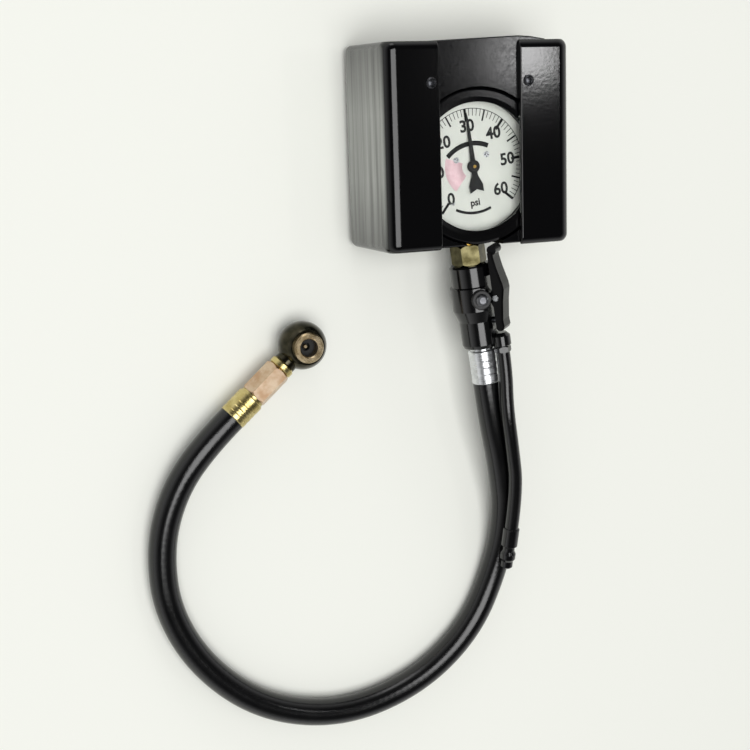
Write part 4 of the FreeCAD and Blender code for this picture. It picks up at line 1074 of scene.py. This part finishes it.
class INFLATOR_OT_stage(Operator):
    """Makes the floor, the lamps and the room's light"""

    bl_idname = "inflator.stage"
    bl_label = "Stage"

    def execute(self, context):
        settings = context.scene.inflator_stage
        mesh = bpy.data.meshes.new("floor")
        corners = ((-1, -1), (1, -1), (1, 1), (-1, 1))
        mesh.from_pydata(
            [(x * FLOOR_REACH, y * FLOOR_REACH, FLOOR_LEVEL) for x, y in corners], [], [(0, 1, 2, 3)]
        )
        floor = bpy.data.objects.new("floor", mesh)
        context.scene.collection.objects.link(floor)
        material, tree = empty_material("pale_card")
        card = add_node(
            tree,
            "ShaderNodeBsdfPrincipled",
            {"Base Color": (*settings.floor_colour, 1), "Roughness": 0.9, "Specular IOR Level": 0.1},
        )
        # far from the object the card fades into the white room, so that no edge shows behind it
        coordinates = add_node(tree, "ShaderNodeTexCoord")
        offset = add_node(
            tree,
            "ShaderNodeVectorMath",
            {0: coordinates.outputs["Object"], 1: MIDDLE},
            operation="DISTANCE",
        )
        far = add_node(
            tree,
            "ShaderNodeMapRange",
            {"Value": offset.outputs["Value"], "From Min": 0.45, "From Max": 1.6},
            interpolation_type="SMOOTHSTEP",
        )
        rays = add_node(tree, "ShaderNodeLightPath")
        fade = add_node(
            tree,
            "ShaderNodeMath",
            {0: far.outputs["Result"], 1: rays.outputs["Is Camera Ray"]},
            operation="MULTIPLY",
        )
        white = add_node(tree, "ShaderNodeEmission", {"Color": WHITE, "Strength": 1.0})
        surface = add_node(
            tree,
            "ShaderNodeMixShader",
            {0: fade.outputs[0], 1: card.outputs["BSDF"], 2: white.outputs["Emission"]},
        )
        add_node(tree, "ShaderNodeOutputMaterial", {"Surface": surface.outputs["Shader"]})
        mesh.materials.append(material)

        overhead = MIDDLE + 2 * Vector((-0.14, -0.02, 0.99))
        behind = MIDDLE + Vector((-0.1, 1.3, 0.42))
        beside = Vector((0.61, 0.075, 1.1))
        area_lamp("key_lamp", overhead, MIDDLE, 1.35, settings.key_power)
        area_lamp("rear_lamp", behind, MIDDLE, 0.5, settings.rear_power)
        area_lamp("side_lamp", beside, GAUGE_FRONT, 0.07, settings.side_power)

        world = bpy.data.worlds.new("room")
        context.scene.world = world
        world.use_nodes = True
        tree = world.node_tree
        tree.nodes.clear()
        rays = add_node(tree, "ShaderNodeLightPath")
        # what the camera sees, itself or in a mirror or through the lens, is the room
        direct = add_node(
            tree,
            "ShaderNodeMath",
            {0: rays.outputs["Is Camera Ray"], 1: rays.outputs["Is Glossy Ray"]},
            operation="MAXIMUM",
        )
        seen = add_node(
            tree,
            "ShaderNodeMath",
            {0: direct.outputs[0], 1: rays.outputs["Is Transmission Ray"]},
            operation="MAXIMUM",
        )
        # the room is white all round and nearly dark overhead, where its ceiling is
        heading = add_node(tree, "ShaderNodeTexCoord")
        split = add_node(tree, "ShaderNodeSeparateXYZ", {"Vector": heading.outputs["Generated"]})
        level = add_node(
            tree,
            "ShaderNodeMapRange",
            {"Value": split.outputs["Z"], "From Min": 0.1, "From Max": 0.65, "To Min": 1.0, "To Max": 0.07},
        )
        backdrop = add_node(
            tree, "ShaderNodeBackground", {"Color": WHITE, "Strength": level.outputs["Result"]}
        )
        ambient = add_node(tree, "ShaderNodeBackground", {"Color": WHITE, "Strength": settings.ambient})
        mixed = add_node(
            tree,
            "ShaderNodeMixShader",
            {0: seen.outputs[0], 1: ambient.outputs["Background"], 2: backdrop.outputs["Background"]},
        )
        add_node(tree, "ShaderNodeOutputWorld", {"Surface": mixed.outputs["Shader"]})
        context.scene.view_settings.view_transform = "Standard"
        return {"FINISHED"}


class INFLATOR_PT_panel(Panel):
    """Lists the inflator's pieces and sizes"""

    bl_idname = "INFLATOR_PT_panel"
    bl_label = "Tyre inflator"
    bl_space_type = "VIEW_3D"
    bl_region_type = "UI"
    bl_category = "Inflator"

    def draw(self, context):
        layout = self.layout
        for operator in OPERATORS:
            layout.operator(operator.bl_idname)
        for title, group in (
            ("Hoses", context.scene.inflator_hose),
            ("Dial", context.scene.inflator_dial),
            ("Stage", context.scene.inflator_stage),
        ):
            box = layout.box()
            box.label(text=title)
            for name in group.__annotations__:
                box.prop(group, name)


GROUPS = (HoseSettings, DialSettings, StageSettings)
OPERATORS = (
    INFLATOR_OT_camera,
    INFLATOR_OT_hoses,
    INFLATOR_OT_guard,
    INFLATOR_OT_gauge,
    INFLATOR_OT_dial,
    INFLATOR_OT_movement,
    INFLATOR_OT_valve,
    INFLATOR_OT_fittings,
    INFLATOR_OT_chuck,
    INFLATOR_OT_stage,
)


def register():
    for item in (*GROUPS, *OPERATORS, INFLATOR_PT_panel):
        bpy.utils.register_class(item)
    bpy.types.Scene.inflator_hose = PointerProperty(type=HoseSettings)
    bpy.types.Scene.inflator_dial = PointerProperty(type=DialSettings)
    bpy.types.Scene.inflator_stage = PointerProperty(type=StageSettings)


def unregister():
    del bpy.types.Scene.inflator_stage
    del bpy.types.Scene.inflator_dial
    del bpy.types.Scene.inflator_hose
    for item in reversed((*GROUPS, *OPERATORS, INFLATOR_PT_panel)):
        bpy.utils.unregister_class(item)


def main():
    register()
    bpy.ops.inflator.camera()
    bpy.ops.inflator.hoses()
    bpy.ops.inflator.guard()
    bpy.ops.inflator.gauge()
    bpy.ops.inflator.dial()
    bpy.ops.inflator.movement()
    bpy.ops.inflator.valve()
    bpy.ops.inflator.fittings()
    bpy.ops.inflator.chuck()
    bpy.ops.inflator.stage()


if __name__ == "__main__":
    main()
